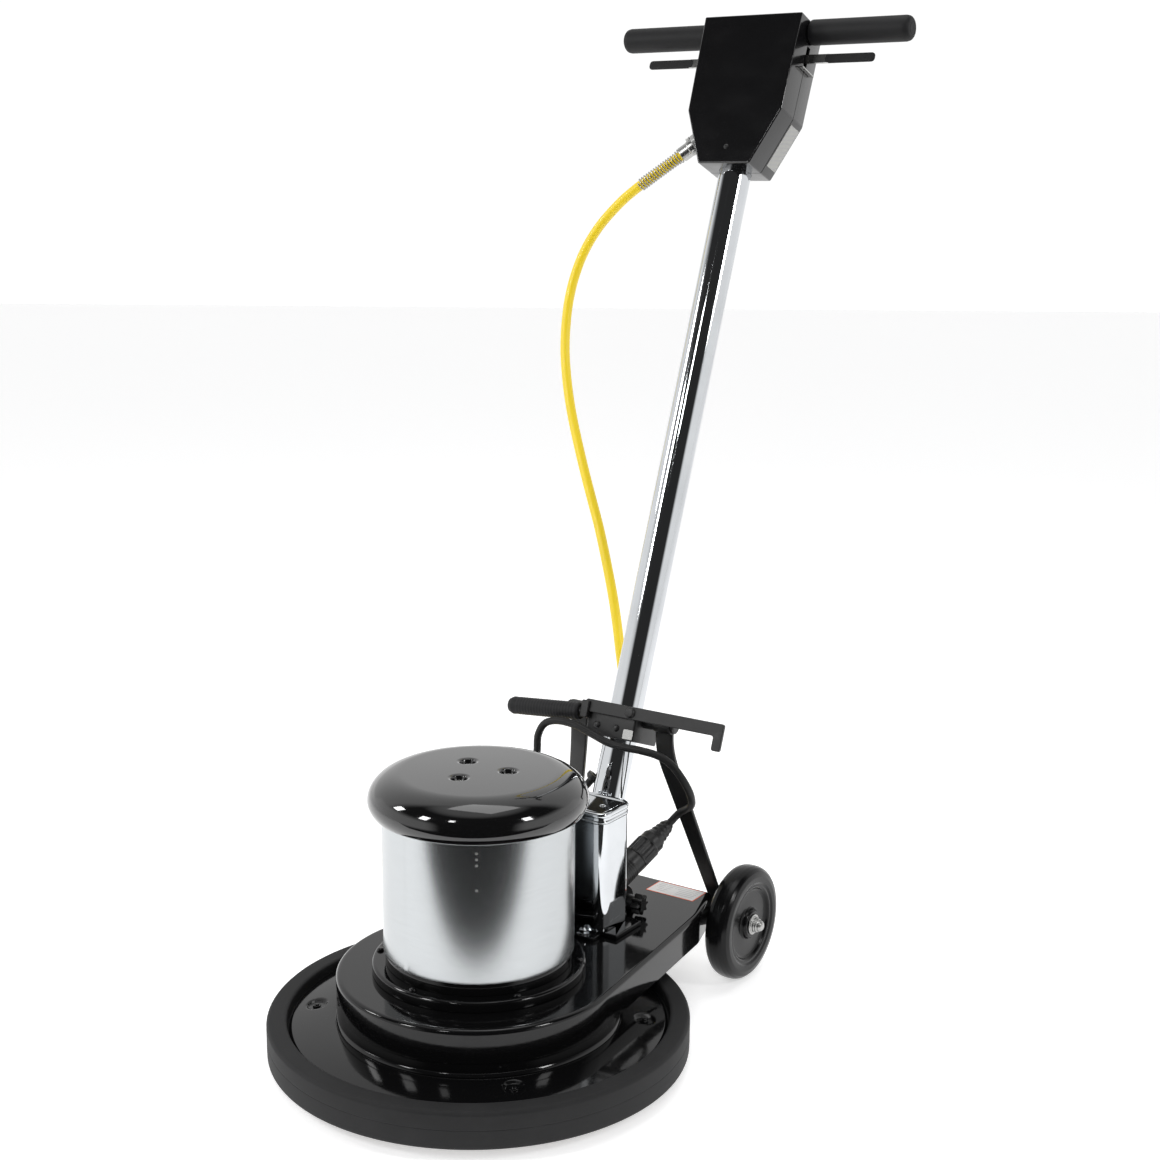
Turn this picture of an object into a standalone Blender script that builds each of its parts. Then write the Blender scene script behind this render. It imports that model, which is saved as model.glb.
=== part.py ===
"""High speed floor burnisher, modelled at rest with its handle locked upright.

Metres, +Z up. The origin is on the floor under the motor's axis. X runs along the handlebar and
the wheel axle, and the operator stands on the +Y side. Handle pieces are drawn in the handle's own
frame: z runs up the tube from its pivot, and y points backwards.
"""
import math

import bmesh
import bpy
from mathutils import Matrix, Vector

GAP = 0.0003
WALL_OVERLAP = 0.003
ROUND = 36
LARGE_ROUND = 48

# Cleaning head
PAD_RADIUS = 0.213
PAD_THICKNESS = 0.022
PAD_POCKET = 0.045
PAD_SKIN = 0.0055
DRIVER_RADIUS = 0.203
DRIVER_THICKNESS = 0.0135
DRIVER_HUB_RADIUS = 0.040
DRIVER_HUB_HEIGHT = 0.024
HUB_FLANGE_RADIUS = 0.060
BUMPER_RADIUS = 0.245
BUMPER_BOTTOM = 0.016
BUMPER_TOP = 0.0595
BUMPER_WALL = 0.0235
APRON_RADIUS = 0.219
APRON_EDGE_TOP = 0.0505
APRON_TOP = 0.0567
APRON_WALL = 0.003

# Chassis housing: a drum under the motor and an arm that runs back to the wheels
DRUM_RADIUS = 0.165
DRUM_BOTTOM = APRON_TOP + GAP
HOUSING_TOP = 0.111
HOUSING_WALL = 0.004
ARM_BOTTOM = 0.072
ARM_SHOULDER_X = 0.1335
ARM_SHOULDER_Y = 0.275
ARM_REAR_X = 0.111
ARM_REAR_Y = 0.348
HOUSING_BORE = 0.030
LUG_THICKNESS = 0.006
LUG_REACH = 0.012
LUG_BOTTOM = 0.060
LUG_TOP = 0.088
LUG_OUTER_X = 0.1065

# Motor, from its flange up
SHAFT_RADIUS = 0.0100
SHAFT_BOTTOM = 0.030
FLANGE_THICKNESS = 0.0122
LOWER_BELL_THICKNESS = 0.0139
FRAME_RADIUS = 0.098
FRAME_WALL = 0.010
FRAME_HEIGHT = 0.152
POLE_BORE = 0.0575
AIR_GAP = 0.0013
UPPER_BELL_THICKNESS = 0.0127
LOWER_BEARING_RADIUS = 0.022
UPPER_BEARING_RADIUS = 0.018
COMMUTATOR_RADIUS = 0.030
SHROUD_RADIUS = 0.110
FLANGE_RADIUS = SHROUD_RADIUS + 0.0135
LOWER_BELL_RADIUS = SHROUD_RADIUS - 0.002
SHROUD_WALL = 0.0015
SHROUD_HEIGHT = 0.171
DOME_RADIUS = SHROUD_RADIUS + 0.016
DOME_FLAT_RADIUS = SHROUD_RADIUS - 0.024
DOME_WALL = 0.0035
DOME_BOTTOM = 0.3035
DOME_TOP = 0.349
DOME_SCREW_CIRCLE = 0.034
DOME_SCREW_ANGLES = (-92.0, 28.0, 148.0)
DIMPLE_RADIUS = 0.0095
DIMPLE_DEPTH = 0.0075
POST_RADIUS = 0.008
SCREW_HEAD_RADIUS = 0.0048
SCREW_RADIUS = 0.0023
SCREW_LENGTH = 0.0165

# Terminal box behind the motor, on the yoke's base plate
BOX_HALF_WIDTH = 0.0765
BOX_FRONT = 0.143
BOX_REAR = 0.206
BOX_CORNER = 0.024
BOX_WALL = 0.002
BOX_HEIGHT = 0.1444
LID_THICKNESS = 0.006
LID_OVERHANG = 0.0015
SOCKET_X = 0.049
SOCKET_Z = 0.156
SOCKET_DIRECTION = (0.2175, 0.845, 0.488)
SOCKET_LENGTH = 0.045
CONNECTOR_LENGTH = 0.066
CONNECTOR_RADIUS = 0.0165
LEAD_RADIUS = 0.0048

# Handle yoke and pivot
PIVOT_Y = 0.230
PIVOT_Z = 0.126
LEAN = math.atan(0.3716)
PIVOT_BOLT_RADIUS = 0.006
YOKE_HALF_WIDTH = 0.092
YOKE_FRONT = 0.150
YOKE_REAR = 0.262
YOKE_PLATE = 0.0057
EAR_INNER_X = 0.0465
EAR_THICKNESS = 0.007
EAR_RADIUS = 0.019
KNOB_RADIUS = 0.0135
KNOB_THICKNESS = 0.012
KNOB_STANDOFF = 0.014

# Wheels and brace
AXLE_Y = 0.362
AXLE_Z = 0.075
AXLE_RADIUS = 0.0079
RUNNING = 0.0003
WHEEL_RADIUS = 0.0735
WHEEL_WIDTH = 0.033
WHEEL_INNER_X = 0.1305
CAP_NUT_LENGTH = 0.0145
STRUT_BOSS_RADIUS = 0.0135
STRUT_WIDTH = 0.025
STRUT_FOOT_WIDTH = 0.0175
STRUT_FOOT_X = 0.1195
STRUT_THICKNESS = 0.005
BRACE_Y = 0.3005
BRACE_Z = 0.338
BRACE_X = 0.064
STRUT_UPRIGHT = 0.035
BARREL_LENGTH = 0.025
BARREL_RADIUS = 0.0105
BRACE_PIN_RADIUS = 0.004
OPEN_PIVOT_CLEARANCE = 0.0027

# Clamp bracket and release lever on the tube
BRACKET_HALF_WIDTH = 0.036
BRACKET_HALF_DEPTH = 0.030
BRACKET_BELOW = 0.029
BRACKET_ABOVE = 0.0135
LEVER_THICKNESS = 0.005
LEVER_HEIGHT = 0.016
LEVER_RISE = 0.006
LEVER_LEFT = -0.040
LEVER_RIGHT = 0.160
LEVER_PIVOT_X = 0.028
HOOK_DROP = 0.018
STUB_RADIUS = 0.006
GRIP_RADIUS = 0.0115
GRIP_END = -0.156
GRIP_DROOP = math.radians(5.0)

# Handle
TUBE_RADIUS = 0.0212
TUBE_WALL = 0.0022
TUBE_FOOT = 0.005
BAR_HEIGHT = 1.1369
BAR_RADIUS = 0.0127
BAR_HALF_LENGTH = 0.205
HANDGRIP_RADIUS = 0.0163
HANDGRIP_END = 0.211
CASE_TOP = BAR_HEIGHT + 0.0131
CASE_SHOULDER = BAR_HEIGHT - 0.1173
CASE_BOTTOM = BAR_HEIGHT - 0.1899
CASE_TOP_HALF = 0.0715
CASE_SHOULDER_HALF = 0.0690
CASE_BOTTOM_HALF = 0.0377
CASE_FRONT = 0.036
CASE_REAR = 0.030
CASE_WALL = 0.003
TRIGGER_HEIGHT = BAR_HEIGHT - 0.0364
TRIGGER_PIVOT_X = 0.058
TRIGGER_END = 0.167
TRIGGER_WIDTH = 0.012
TRIGGER_THICKNESS = 0.004
TRIGGER_PIN_RADIUS = 0.003
BUTTON_X = -0.045
BUTTON_HEIGHT = BAR_HEIGHT - 0.0969
BUTTON_RADIUS = 0.006
BUTTON_TRAVEL = 0.004
SWITCH_BOTTOM = BAR_HEIGHT - 0.1169
SWITCH_HEIGHT = 0.046

# Power cord
CORD_RADIUS = 0.0065
GLAND_POINT = (-0.0541, -0.014, BAR_HEIGHT - 0.1519)
GLAND_DIRECTION = (-0.79, 0.0, -0.61)
GLAND_LENGTH = 0.030
SPRING_LENGTH = 0.070
COIL_X = -0.3755
COIL_Y = 0.4934
COIL_MID_RADIUS = 0.1045
COIL_ACROSS = 5
COIL_LAYERS = 4
PLUG_ANGLE = math.radians(100.0)
PLUG_RADIUS = 0.0175
PLUG_LENGTH = 0.045

# The cord from the end of its spring, down behind the tube and over the floor to the coil
CORD_ROUTE = (
    (-0.160, 0.5345, 0.976), (-0.1905, 0.530, 0.9446), (-0.210, 0.522, 0.911),
    (-0.220, 0.513, 0.877), (-0.2244, 0.505, 0.8435), (-0.2237, 0.497, 0.810),
    (-0.2196, 0.489, 0.7766), (-0.2108, 0.480, 0.7436), (-0.1994, 0.471, 0.711),
    (-0.1856, 0.462, 0.6787), (-0.1702, 0.453, 0.6468), (-0.1548, 0.445, 0.6151),
    (-0.138, 0.436, 0.5838), (-0.1212, 0.427, 0.5528), (-0.1061, 0.418, 0.5219),
    (-0.0919, 0.409, 0.4912), (-0.0785, 0.400, 0.4606), (-0.0672, 0.392, 0.4296),
    (-0.0571, 0.384, 0.3989), (-0.0475, 0.376, 0.3722), (-0.041, 0.368, 0.345),
    (-0.039, 0.360, 0.312), (-0.043, 0.356, 0.280), (-0.050, 0.358, 0.248),
    (-0.062, 0.370, 0.205), (-0.080, 0.395, 0.150), (-0.102, 0.425, 0.098),
    (-0.128, 0.458, 0.052), (-0.153, 0.478, 0.022), (-0.178, 0.4858, 0.0090),
    (-0.202, 0.4866, 0.0068), (-0.225, 0.4866, 0.0068),
)

# The motor lead from the tube, round behind the dome and over to the connector
LEAD_ROUTE = (
    (-0.0265, 0.276, 0.2585), (-0.034, 0.270, 0.247), (-0.050, 0.260, 0.226),
    (-0.072, 0.252, 0.217), (-0.091, 0.251, 0.228), (-0.099, 0.253, 0.256),
    (-0.099, 0.255, 0.289), (-0.0975, 0.255, 0.308), (-0.087, 0.255, 0.325),
    (-0.067, 0.255, 0.332), (-0.041, 0.255, 0.331), (-0.016, 0.255, 0.324),
    (0.008, 0.255, 0.317), (0.032, 0.256, 0.3145), (0.0546, 0.258, 0.314),
    (0.078, 0.262, 0.3105), (0.095, 0.266, 0.301), (0.107, 0.270, 0.286),
    (0.1135, 0.278, 0.268), (0.1110, 0.290, 0.2515), (0.1035, 0.3015, 0.2395),
    (0.0935, 0.3090, 0.2315), (0.0850, 0.3110, 0.2255), (0.0795, 0.3098, 0.2205),
)


# ---------------------------------------------------------------- helpers

def material(name, colour, roughness, metallic=0.0):
    """A plain Principled material."""
    made = bpy.data.materials.new(name)
    made.use_nodes = True
    shader = made.node_tree.nodes["Principled BSDF"]
    shader.inputs["Base Color"].default_value = (*colour, 1.0)
    shader.inputs["Roughness"].default_value = roughness
    shader.inputs["Metallic"].default_value = metallic
    return made


def finish_object(name, bm, look, parent=None, location=(0, 0, 0), rotation=(0, 0, 0)):
    """Turns a bmesh into a named object with its material, placed under its parent."""
    bmesh.ops.remove_doubles(bm, verts=bm.verts, dist=1e-6)
    bmesh.ops.recalc_face_normals(bm, faces=bm.faces)
    mesh = bpy.data.meshes.new(name)
    bm.to_mesh(mesh)
    bm.free()
    mesh.shade_smooth()
    mesh.set_sharp_from_angle(angle=math.radians(35))
    if look:
        mesh.materials.append(look)
    obj = bpy.data.objects.new(name, mesh)
    bpy.context.scene.collection.objects.link(obj)
    obj.parent = parent
    obj.location = location
    obj.rotation_euler = rotation
    return obj


def empty(name, location=(0, 0, 0), rotation=(0, 0, 0), parent=None):
    """An empty on a joint's axis."""
    obj = bpy.data.objects.new(name, None)
    bpy.context.scene.collection.objects.link(obj)
    obj.location = location
    obj.rotation_euler = rotation
    obj.parent = parent
    return obj


def lathe_mesh(profile, segments=ROUND):
    """A profile of (radius, z) points turned about Z. It is a loop, or runs from axis to axis."""
    bm = bmesh.new()
    verts = [bm.verts.new((r, 0.0, z)) for r, z in profile]
    pairs = list(zip(verts, verts[1:]))
    if profile[0][0] > 0 or profile[-1][0] > 0:
        pairs.append((verts[-1], verts[0]))
    edges = [bm.edges.new(pair) for pair in pairs]
    bmesh.ops.spin(bm, geom=verts + edges, angle=math.tau, steps=segments,
                   axis=(0, 0, 1), cent=(0, 0, 0))
    return bm


def lathe(name, profile, look, parent=None, segments=ROUND, location=(0, 0, 0), rotation=(0, 0, 0)):
    return finish_object(name, lathe_mesh(profile, segments), look, parent, location, rotation)


def ring(inner, outer, low, high):
    """The profile of a plain ring."""
    return [(inner, low), (outer, low), (outer, high), (inner, high)]


def disc(radius, low, high):
    """The profile of a solid disc."""
    return [(0, low), (radius, low), (radius, high), (0, high)]


def prism(name, outline, low, high, look, parent=None, location=(0, 0, 0), rotation=(0, 0, 0)):
    """An (x, y) outline extruded from z = low to z = high."""
    bm = bmesh.new()
    face = bm.faces.new([bm.verts.new((x, y, low)) for x, y in outline])
    raised = bmesh.ops.extrude_face_region(bm, geom=[face])
    moved = [v for v in raised["geom"] if isinstance(v, bmesh.types.BMVert)]
    bmesh.ops.translate(bm, verts=moved, vec=(0, 0, high - low))
    return finish_object(name, bm, look, parent, location, rotation)


def box(name, low, high, look, parent=None, bevel=0.0):
    """A box between two corners, with its edges bevelled."""
    size = Vector(high) - Vector(low)
    centre = (Vector(high) + Vector(low)) / 2
    bm = bmesh.new()
    bmesh.ops.create_cube(bm, size=1.0, matrix=Matrix.Translation(centre) @ Matrix.Diagonal((*size, 1)))
    if bevel:
        bmesh.ops.bevel(bm, geom=bm.edges[:], offset=bevel, segments=1, affect="EDGES")
    return finish_object(name, bm, look, parent)


def rod(name, start, end, radius, look, parent=None, segments=20):
    """A plain cylinder from one point to another."""
    start, end = Vector(start), Vector(end)
    turn = (end - start).to_track_quat("Z", "Y").to_euler()
    profile = disc(radius, 0.0, (end - start).length)
    return lathe(name, profile, look, parent, segments, start, turn)


def boolean(obj, other, operation):
    """Cuts or joins with an object that is then hidden."""
    modifier = obj.modifiers.new(other.name, "BOOLEAN")
    modifier.object = other
    modifier.operation = operation
    modifier.solver = "EXACT"
    other.hide_render = True
    other.display_type = "WIRE"
    return obj


def cut(obj, *cutters):
    for cutter in cutters:
        boolean(obj, cutter, "DIFFERENCE")
    return obj


def join(obj, *others):
    for other in others:
        boolean(obj, other, "UNION")
    return obj


def smooth_route(points, spacing):
    """Points at even spacing along a centripetal Catmull-Rom curve through the route."""
    knots = [Vector(p) for p in points]
    knots = [2 * knots[0] - knots[1], *knots, 2 * knots[-1] - knots[-2]]
    dense = []
    for a, b, c, d in zip(knots, knots[1:], knots[2:], knots[3:]):
        for step in range(16):
            t = step / 16
            dense.append(0.5 * (2 * b + (c - a) * t + (2 * a - 5 * b + 4 * c - d) * t ** 2
                                + (3 * b - a - 3 * c + d) * t ** 3))
    dense.append(knots[-2])
    lengths = [0.0]
    for a, b in zip(dense, dense[1:]):
        lengths.append(lengths[-1] + (b - a).length)
    count = max(2, round(lengths[-1] / spacing))
    out, i = [], 0
    for k in range(count + 1):
        goal = lengths[-1] * k / count
        while i < len(dense) - 2 and lengths[i + 1] < goal:
            i += 1
        span = lengths[i + 1] - lengths[i]
        out.append(dense[i].lerp(dense[i + 1], (goal - lengths[i]) / span))
    return out


def cable(name, points, radius, look, resolution=2):
    """A round cable as a curve with filled caps."""
    data = bpy.data.curves.new(name, "CURVE")
    data.dimensions = "3D"
    data.bevel_depth = radius
    data.bevel_resolution = resolution
    data.use_fill_caps = True
    spline = data.splines.new("POLY")
    spline.points.add(len(points) - 1)
    for point, place in zip(spline.points, points):
        point.co = (*place, 1.0)
    data.materials.append(look)
    obj = bpy.data.objects.new(name, data)
    bpy.context.scene.collection.objects.link(obj)
    return obj


def rounded_rectangle(half_width, front, rear, corner, steps=5):
    """The outline of a rectangle with round corners."""
    outline = []
    centres = ((half_width - corner, rear - corner, 0), (corner - half_width, rear - corner, 90),
               (corner - half_width, front + corner, 180), (half_width - corner, front + corner, 270))
    for x, y, begin in centres:
        for k in range(steps + 1):
            angle = math.radians(begin + 90 * k / steps)
            outline.append((x + corner * math.cos(angle), y + corner * math.sin(angle)))
    return outline


# ---------------------------------------------------------------- looks

def make_looks():
    return {
        "rubber": material("black_rubber", (0.045, 0.045, 0.047), 0.75),
        "paint": material("black_paint", (0.012, 0.012, 0.013), 0.12),
        "satin_black": material("satin_black_steel", (0.02, 0.02, 0.021), 0.45),
        "stainless": material("brushed_stainless", (0.62, 0.61, 0.59), 0.30, 1.0),
        "chrome": material("chrome", (0.80, 0.80, 0.81), 0.06, 1.0),
        "steel": material("zinc_steel", (0.55, 0.55, 0.54), 0.35, 1.0),
        "aluminium": material("cast_aluminium", (0.45, 0.45, 0.46), 0.5, 1.0),
        "copper": material("copper", (0.72, 0.36, 0.2), 0.4, 1.0),
        "pad": material("polishing_pad", (0.75, 0.62, 0.52), 0.95),
        "plastic": material("black_plastic", (0.02, 0.02, 0.02), 0.4),
        "red_plastic": material("red_plastic", (0.55, 0.03, 0.02), 0.4),
        "yellow": material("yellow_cord", (0.85, 0.58, 0.02), 0.45),
        "brass": material("brass", (0.72, 0.55, 0.25), 0.3, 1.0),
    }


# ---------------------------------------------------------------- cleaning head

def spinning_parts(looks, axis):
    """Everything that turns with the motor shaft."""
    bore = SHAFT_RADIUS + GAP
    driver_low = PAD_THICKNESS + GAP
    driver_top = driver_low + DRIVER_THICKNESS
    hub_top = driver_top + DRIVER_HUB_HEIGHT
    lathe("burnishing_pad", [
        (0, 0), (PAD_RADIUS, 0), (PAD_RADIUS, PAD_THICKNESS), (PAD_POCKET, PAD_THICKNESS),
        (PAD_POCKET, PAD_SKIN), (0, PAD_SKIN),
    ], looks["pad"], axis, LARGE_ROUND)
    lathe("pad_driver", [
        (bore, driver_low), (DRIVER_RADIUS, driver_low), (DRIVER_RADIUS, driver_top),
        (DRIVER_HUB_RADIUS, driver_top), (DRIVER_HUB_RADIUS, hub_top), (bore, hub_top),
    ], looks["plastic"], axis)
    lock_radius = PAD_POCKET - GAP
    lock_low = PAD_SKIN + GAP
    lathe("pad_lock", [
        (0, lock_low), (lock_radius - 0.015, lock_low), (lock_radius, lock_low + 0.006),
        (lock_radius, PAD_THICKNESS), (0, PAD_THICKNESS),
    ], looks["red_plastic"], axis, 28)
    flange_low = hub_top + GAP
    lathe("drive_hub", [
        (bore, flange_low), (HUB_FLANGE_RADIUS, flange_low), (HUB_FLANGE_RADIUS, flange_low + 0.010),
        (0.026, flange_low + 0.014), (0.026, flange_low + 0.040), (bore, flange_low + 0.040),
    ], looks["aluminium"], axis, 28)
    lathe("armature_shaft", disc(SHAFT_RADIUS, SHAFT_BOTTOM, motor_levels()["upper_bell"] + 0.0040),
          looks["steel"], axis, 20)
    frame_low = motor_levels()["frame"]
    lathe("cooling_fan", [
        (bore, frame_low + 0.004), (0.022, frame_low + 0.004), (0.022, frame_low + 0.008),
        (0.080, frame_low + 0.008), (0.080, frame_low + 0.011), (0.022, frame_low + 0.011),
        (0.022, frame_low + 0.022), (bore, frame_low + 0.022),
    ], looks["aluminium"], axis, 28)
    lathe("armature_core", ring(bore, POLE_BORE - AIR_GAP, frame_low + 0.032, frame_low + 0.102),
          looks["copper"], axis, 28)
    lathe("commutator", ring(bore, COMMUTATOR_RADIUS, frame_low + 0.114, frame_low + 0.136),
          looks["copper"], axis, 24)


def head_covers(looks):
    """The apron over the pad and the rubber bumper round it."""
    edge = APRON_RADIUS
    lathe("apron", [
        (DRUM_RADIUS - 0.020, APRON_TOP), (DRUM_RADIUS + 0.003, APRON_TOP),
        (edge - 0.0025, APRON_EDGE_TOP), (edge, APRON_EDGE_TOP - 0.0035),
        (edge, APRON_EDGE_TOP - 0.0145), (edge - APRON_WALL, APRON_EDGE_TOP - 0.0145),
        (edge - APRON_WALL, APRON_EDGE_TOP - 0.005), (edge - 0.006, APRON_EDGE_TOP - APRON_WALL),
        (DRUM_RADIUS + 0.003, APRON_TOP - APRON_WALL), (DRUM_RADIUS - 0.020, APRON_TOP - APRON_WALL),
    ], looks["paint"], segments=LARGE_ROUND)
    lip = APRON_RADIUS + GAP
    inner = BUMPER_RADIUS - BUMPER_WALL
    lathe("bumper_ring", [
        (lip, BUMPER_BOTTOM), (BUMPER_RADIUS - 0.003, BUMPER_BOTTOM),
        (BUMPER_RADIUS, BUMPER_BOTTOM + 0.004), (BUMPER_RADIUS, BUMPER_TOP - 0.0045),
        (BUMPER_RADIUS - 0.0025, BUMPER_TOP), (inner + 0.002, BUMPER_TOP),
        (inner, BUMPER_TOP - 0.002), (inner, BUMPER_TOP - 0.0145), (lip, BUMPER_TOP - 0.0155),
    ], looks["rubber"], segments=LARGE_ROUND)


def housing_outline(inset):
    """Half circle in front, sides that run back and narrow, and cut rear corners."""
    radius = DRUM_RADIUS - inset
    tangent = math.atan2(DRUM_RADIUS - ARM_SHOULDER_X, ARM_SHOULDER_Y)
    steps = 26
    begin, end = math.pi - tangent, math.tau + tangent
    outline = [(radius * math.cos(begin + (end - begin) * k / steps),
                radius * math.sin(begin + (end - begin) * k / steps)) for k in range(steps + 1)]
    rear = [(ARM_SHOULDER_X - inset, ARM_SHOULDER_Y), (ARM_REAR_X - inset, ARM_REAR_Y - inset)]
    outline += rear + [(-x, y) for x, y in reversed(rear)]
    return outline


def chassis_housing(looks):
    """Drum and arm in one casting, open below, with two lugs that carry the axle."""
    body = prism("chassis_housing", housing_outline(0.0), ARM_BOTTOM, HOUSING_TOP, looks["paint"])
    bevel = body.modifiers.new("top_edge", "BEVEL")
    bevel.width = 0.0055
    bevel.segments = 3
    bevel.limit_method = "WEIGHT"
    top_edges = body.data.attributes.new("bevel_weight_edge", "FLOAT", "EDGE")
    for edge in body.data.edges:
        heights = [body.data.vertices[i].co.z for i in edge.vertices]
        top_edges.data[edge.index].value = 1.0 if min(heights) > HOUSING_TOP - 1e-5 else 0.0
    skirt = lathe("housing_skirt", disc(DRUM_RADIUS - 0.0006, DRUM_BOTTOM, ARM_BOTTOM + 0.005), None,
                  segments=LARGE_ROUND)
    lugs = [box(f"axle_lug_{side}", (x, ARM_REAR_Y - 0.048, LUG_BOTTOM),
                (x + LUG_THICKNESS, AXLE_Y + LUG_REACH, LUG_TOP), None)
            for side, x in (("left", -LUG_OUTER_X), ("right", LUG_OUTER_X - LUG_THICKNESS))]
    cavity = prism("housing_cavity", housing_outline(HOUSING_WALL), DRUM_BOTTOM - 0.01,
                   HOUSING_TOP - HOUSING_WALL - 0.002, None)
    bore = lathe("housing_bore", disc(HOUSING_BORE, ARM_BOTTOM, HOUSING_TOP + 0.01), None, segments=28)
    axle_hole = rod("axle_hole", (-0.2, AXLE_Y, AXLE_Z), (0.2, AXLE_Y, AXLE_Z),
                    AXLE_RADIUS + RUNNING, None)
    join(body, skirt)
    cut(body, cavity, bore)
    join(body, *lugs)
    cut(body, axle_hole)


# ---------------------------------------------------------------- motor

def motor_levels():
    """Heights at which the motor's stacked pieces begin."""
    flange = HOUSING_TOP + GAP
    lower_bell = flange + FLANGE_THICKNESS + GAP
    frame = lower_bell + LOWER_BELL_THICKNESS + GAP
    upper_bell = frame + FRAME_HEIGHT + GAP
    return {"flange": flange, "lower_bell": lower_bell, "frame": frame, "upper_bell": upper_bell}


def motor(looks):
    levels = motor_levels()
    base = levels["flange"]
    lathe("motor_flange", [
        (0.016, base), (FLANGE_RADIUS, base), (FLANGE_RADIUS, base + FLANGE_THICKNESS - 0.004),
        (FLANGE_RADIUS - 0.0035, base + FLANGE_THICKNESS), (0.016, base + FLANGE_THICKNESS),
    ], looks["paint"])
    low = levels["lower_bell"]
    seat = LOWER_BEARING_RADIUS + GAP
    lathe("lower_end_bell", [
        (seat, low), (LOWER_BELL_RADIUS, low), (LOWER_BELL_RADIUS, low + LOWER_BELL_THICKNESS),
        (0.0125, low + LOWER_BELL_THICKNESS), (0.0125, low + 0.0100), (seat, low + 0.0100),
    ], looks["satin_black"])
    lathe("lower_bearing", ring(SHAFT_RADIUS + GAP, LOWER_BEARING_RADIUS, low + GAP, low + 0.0097),
          looks["steel"], segments=24)
    low = levels["frame"]
    inner = FRAME_RADIUS - FRAME_WALL
    lathe("field_frame", [
        (inner, low), (FRAME_RADIUS, low), (FRAME_RADIUS, low + FRAME_HEIGHT), (inner, low + FRAME_HEIGHT),
        (inner, low + 0.104), (POLE_BORE, low + 0.104), (POLE_BORE, low + 0.030), (inner, low + 0.030),
    ], looks["steel"], segments=32)
    upper_end_bell(looks, levels["upper_bell"])
    for side, turn in (("left", math.pi), ("right", 0.0)):
        brush(looks, side, turn, levels["upper_bell"])
    low = levels["frame"]
    lathe("motor_shroud", ring(SHROUD_RADIUS - SHROUD_WALL, SHROUD_RADIUS, low, low + SHROUD_HEIGHT),
          looks["stainless"])
    dome(looks)


def screw_places():
    return [(DOME_SCREW_CIRCLE * math.cos(math.radians(a)), DOME_SCREW_CIRCLE * math.sin(math.radians(a)))
            for a in DOME_SCREW_ANGLES]


def upper_end_bell(looks, low):
    """The brush-end bell, with the bearing's seat below and three posts for the dome above."""
    seat = UPPER_BEARING_RADIUS + GAP
    bell = lathe("upper_end_bell", [
        (0, low + 0.0050), (seat, low + 0.0050), (seat, low - 0.0043), (seat + 0.008, low - 0.0043),
        (seat + 0.008, low), (FRAME_RADIUS, low), (FRAME_RADIUS, low + UPPER_BELL_THICKNESS),
        (0, low + UPPER_BELL_THICKNESS),
    ], looks["satin_black"], segments=32)
    post_top = DOME_TOP - DIMPLE_DEPTH - DOME_WALL + 0.0005 - GAP
    for number, (x, y) in enumerate(screw_places(), 1):
        join(bell, rod(f"post_{number}", (x, y, low + UPPER_BELL_THICKNESS - WALL_OVERLAP),
                       (x, y, post_top), POST_RADIUS, None, segments=14))
        cut(bell, rod(f"post_bore_{number}", (x, y, post_top - 0.018), (x, y, post_top + 0.005),
                      SCREW_RADIUS + GAP, None, segments=10))
    lathe("upper_bearing", ring(SHAFT_RADIUS + GAP, UPPER_BEARING_RADIUS, low - 0.0043, low + 0.0047),
          looks["steel"], segments=24)


def brush(looks, side, turn, bell_low):
    """A carbon brush on the commutator, in a holder that hangs from the brush-end bell."""
    inner = COMMUTATOR_RADIUS + GAP
    low = bell_low - 0.0336
    pivot = empty(f"brush_axis_{side}", rotation=(0, 0, turn))
    holder = box(f"brush_holder_{side}", (inner + 0.006, -0.010, low - 0.004),
                 (inner + 0.032, 0.010, bell_low - GAP), looks["brass"], pivot)
    slot = box(f"brush_slot_{side}", (inner, -0.0063, low - 0.0003), (inner + 0.020, 0.0063, low + 0.0123),
               None, pivot)
    cut(holder, slot)
    box(f"carbon_brush_{side}", (inner, -0.006, low), (inner + 0.017, 0.006, low + 0.012),
        looks["satin_black"], pivot)


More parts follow.
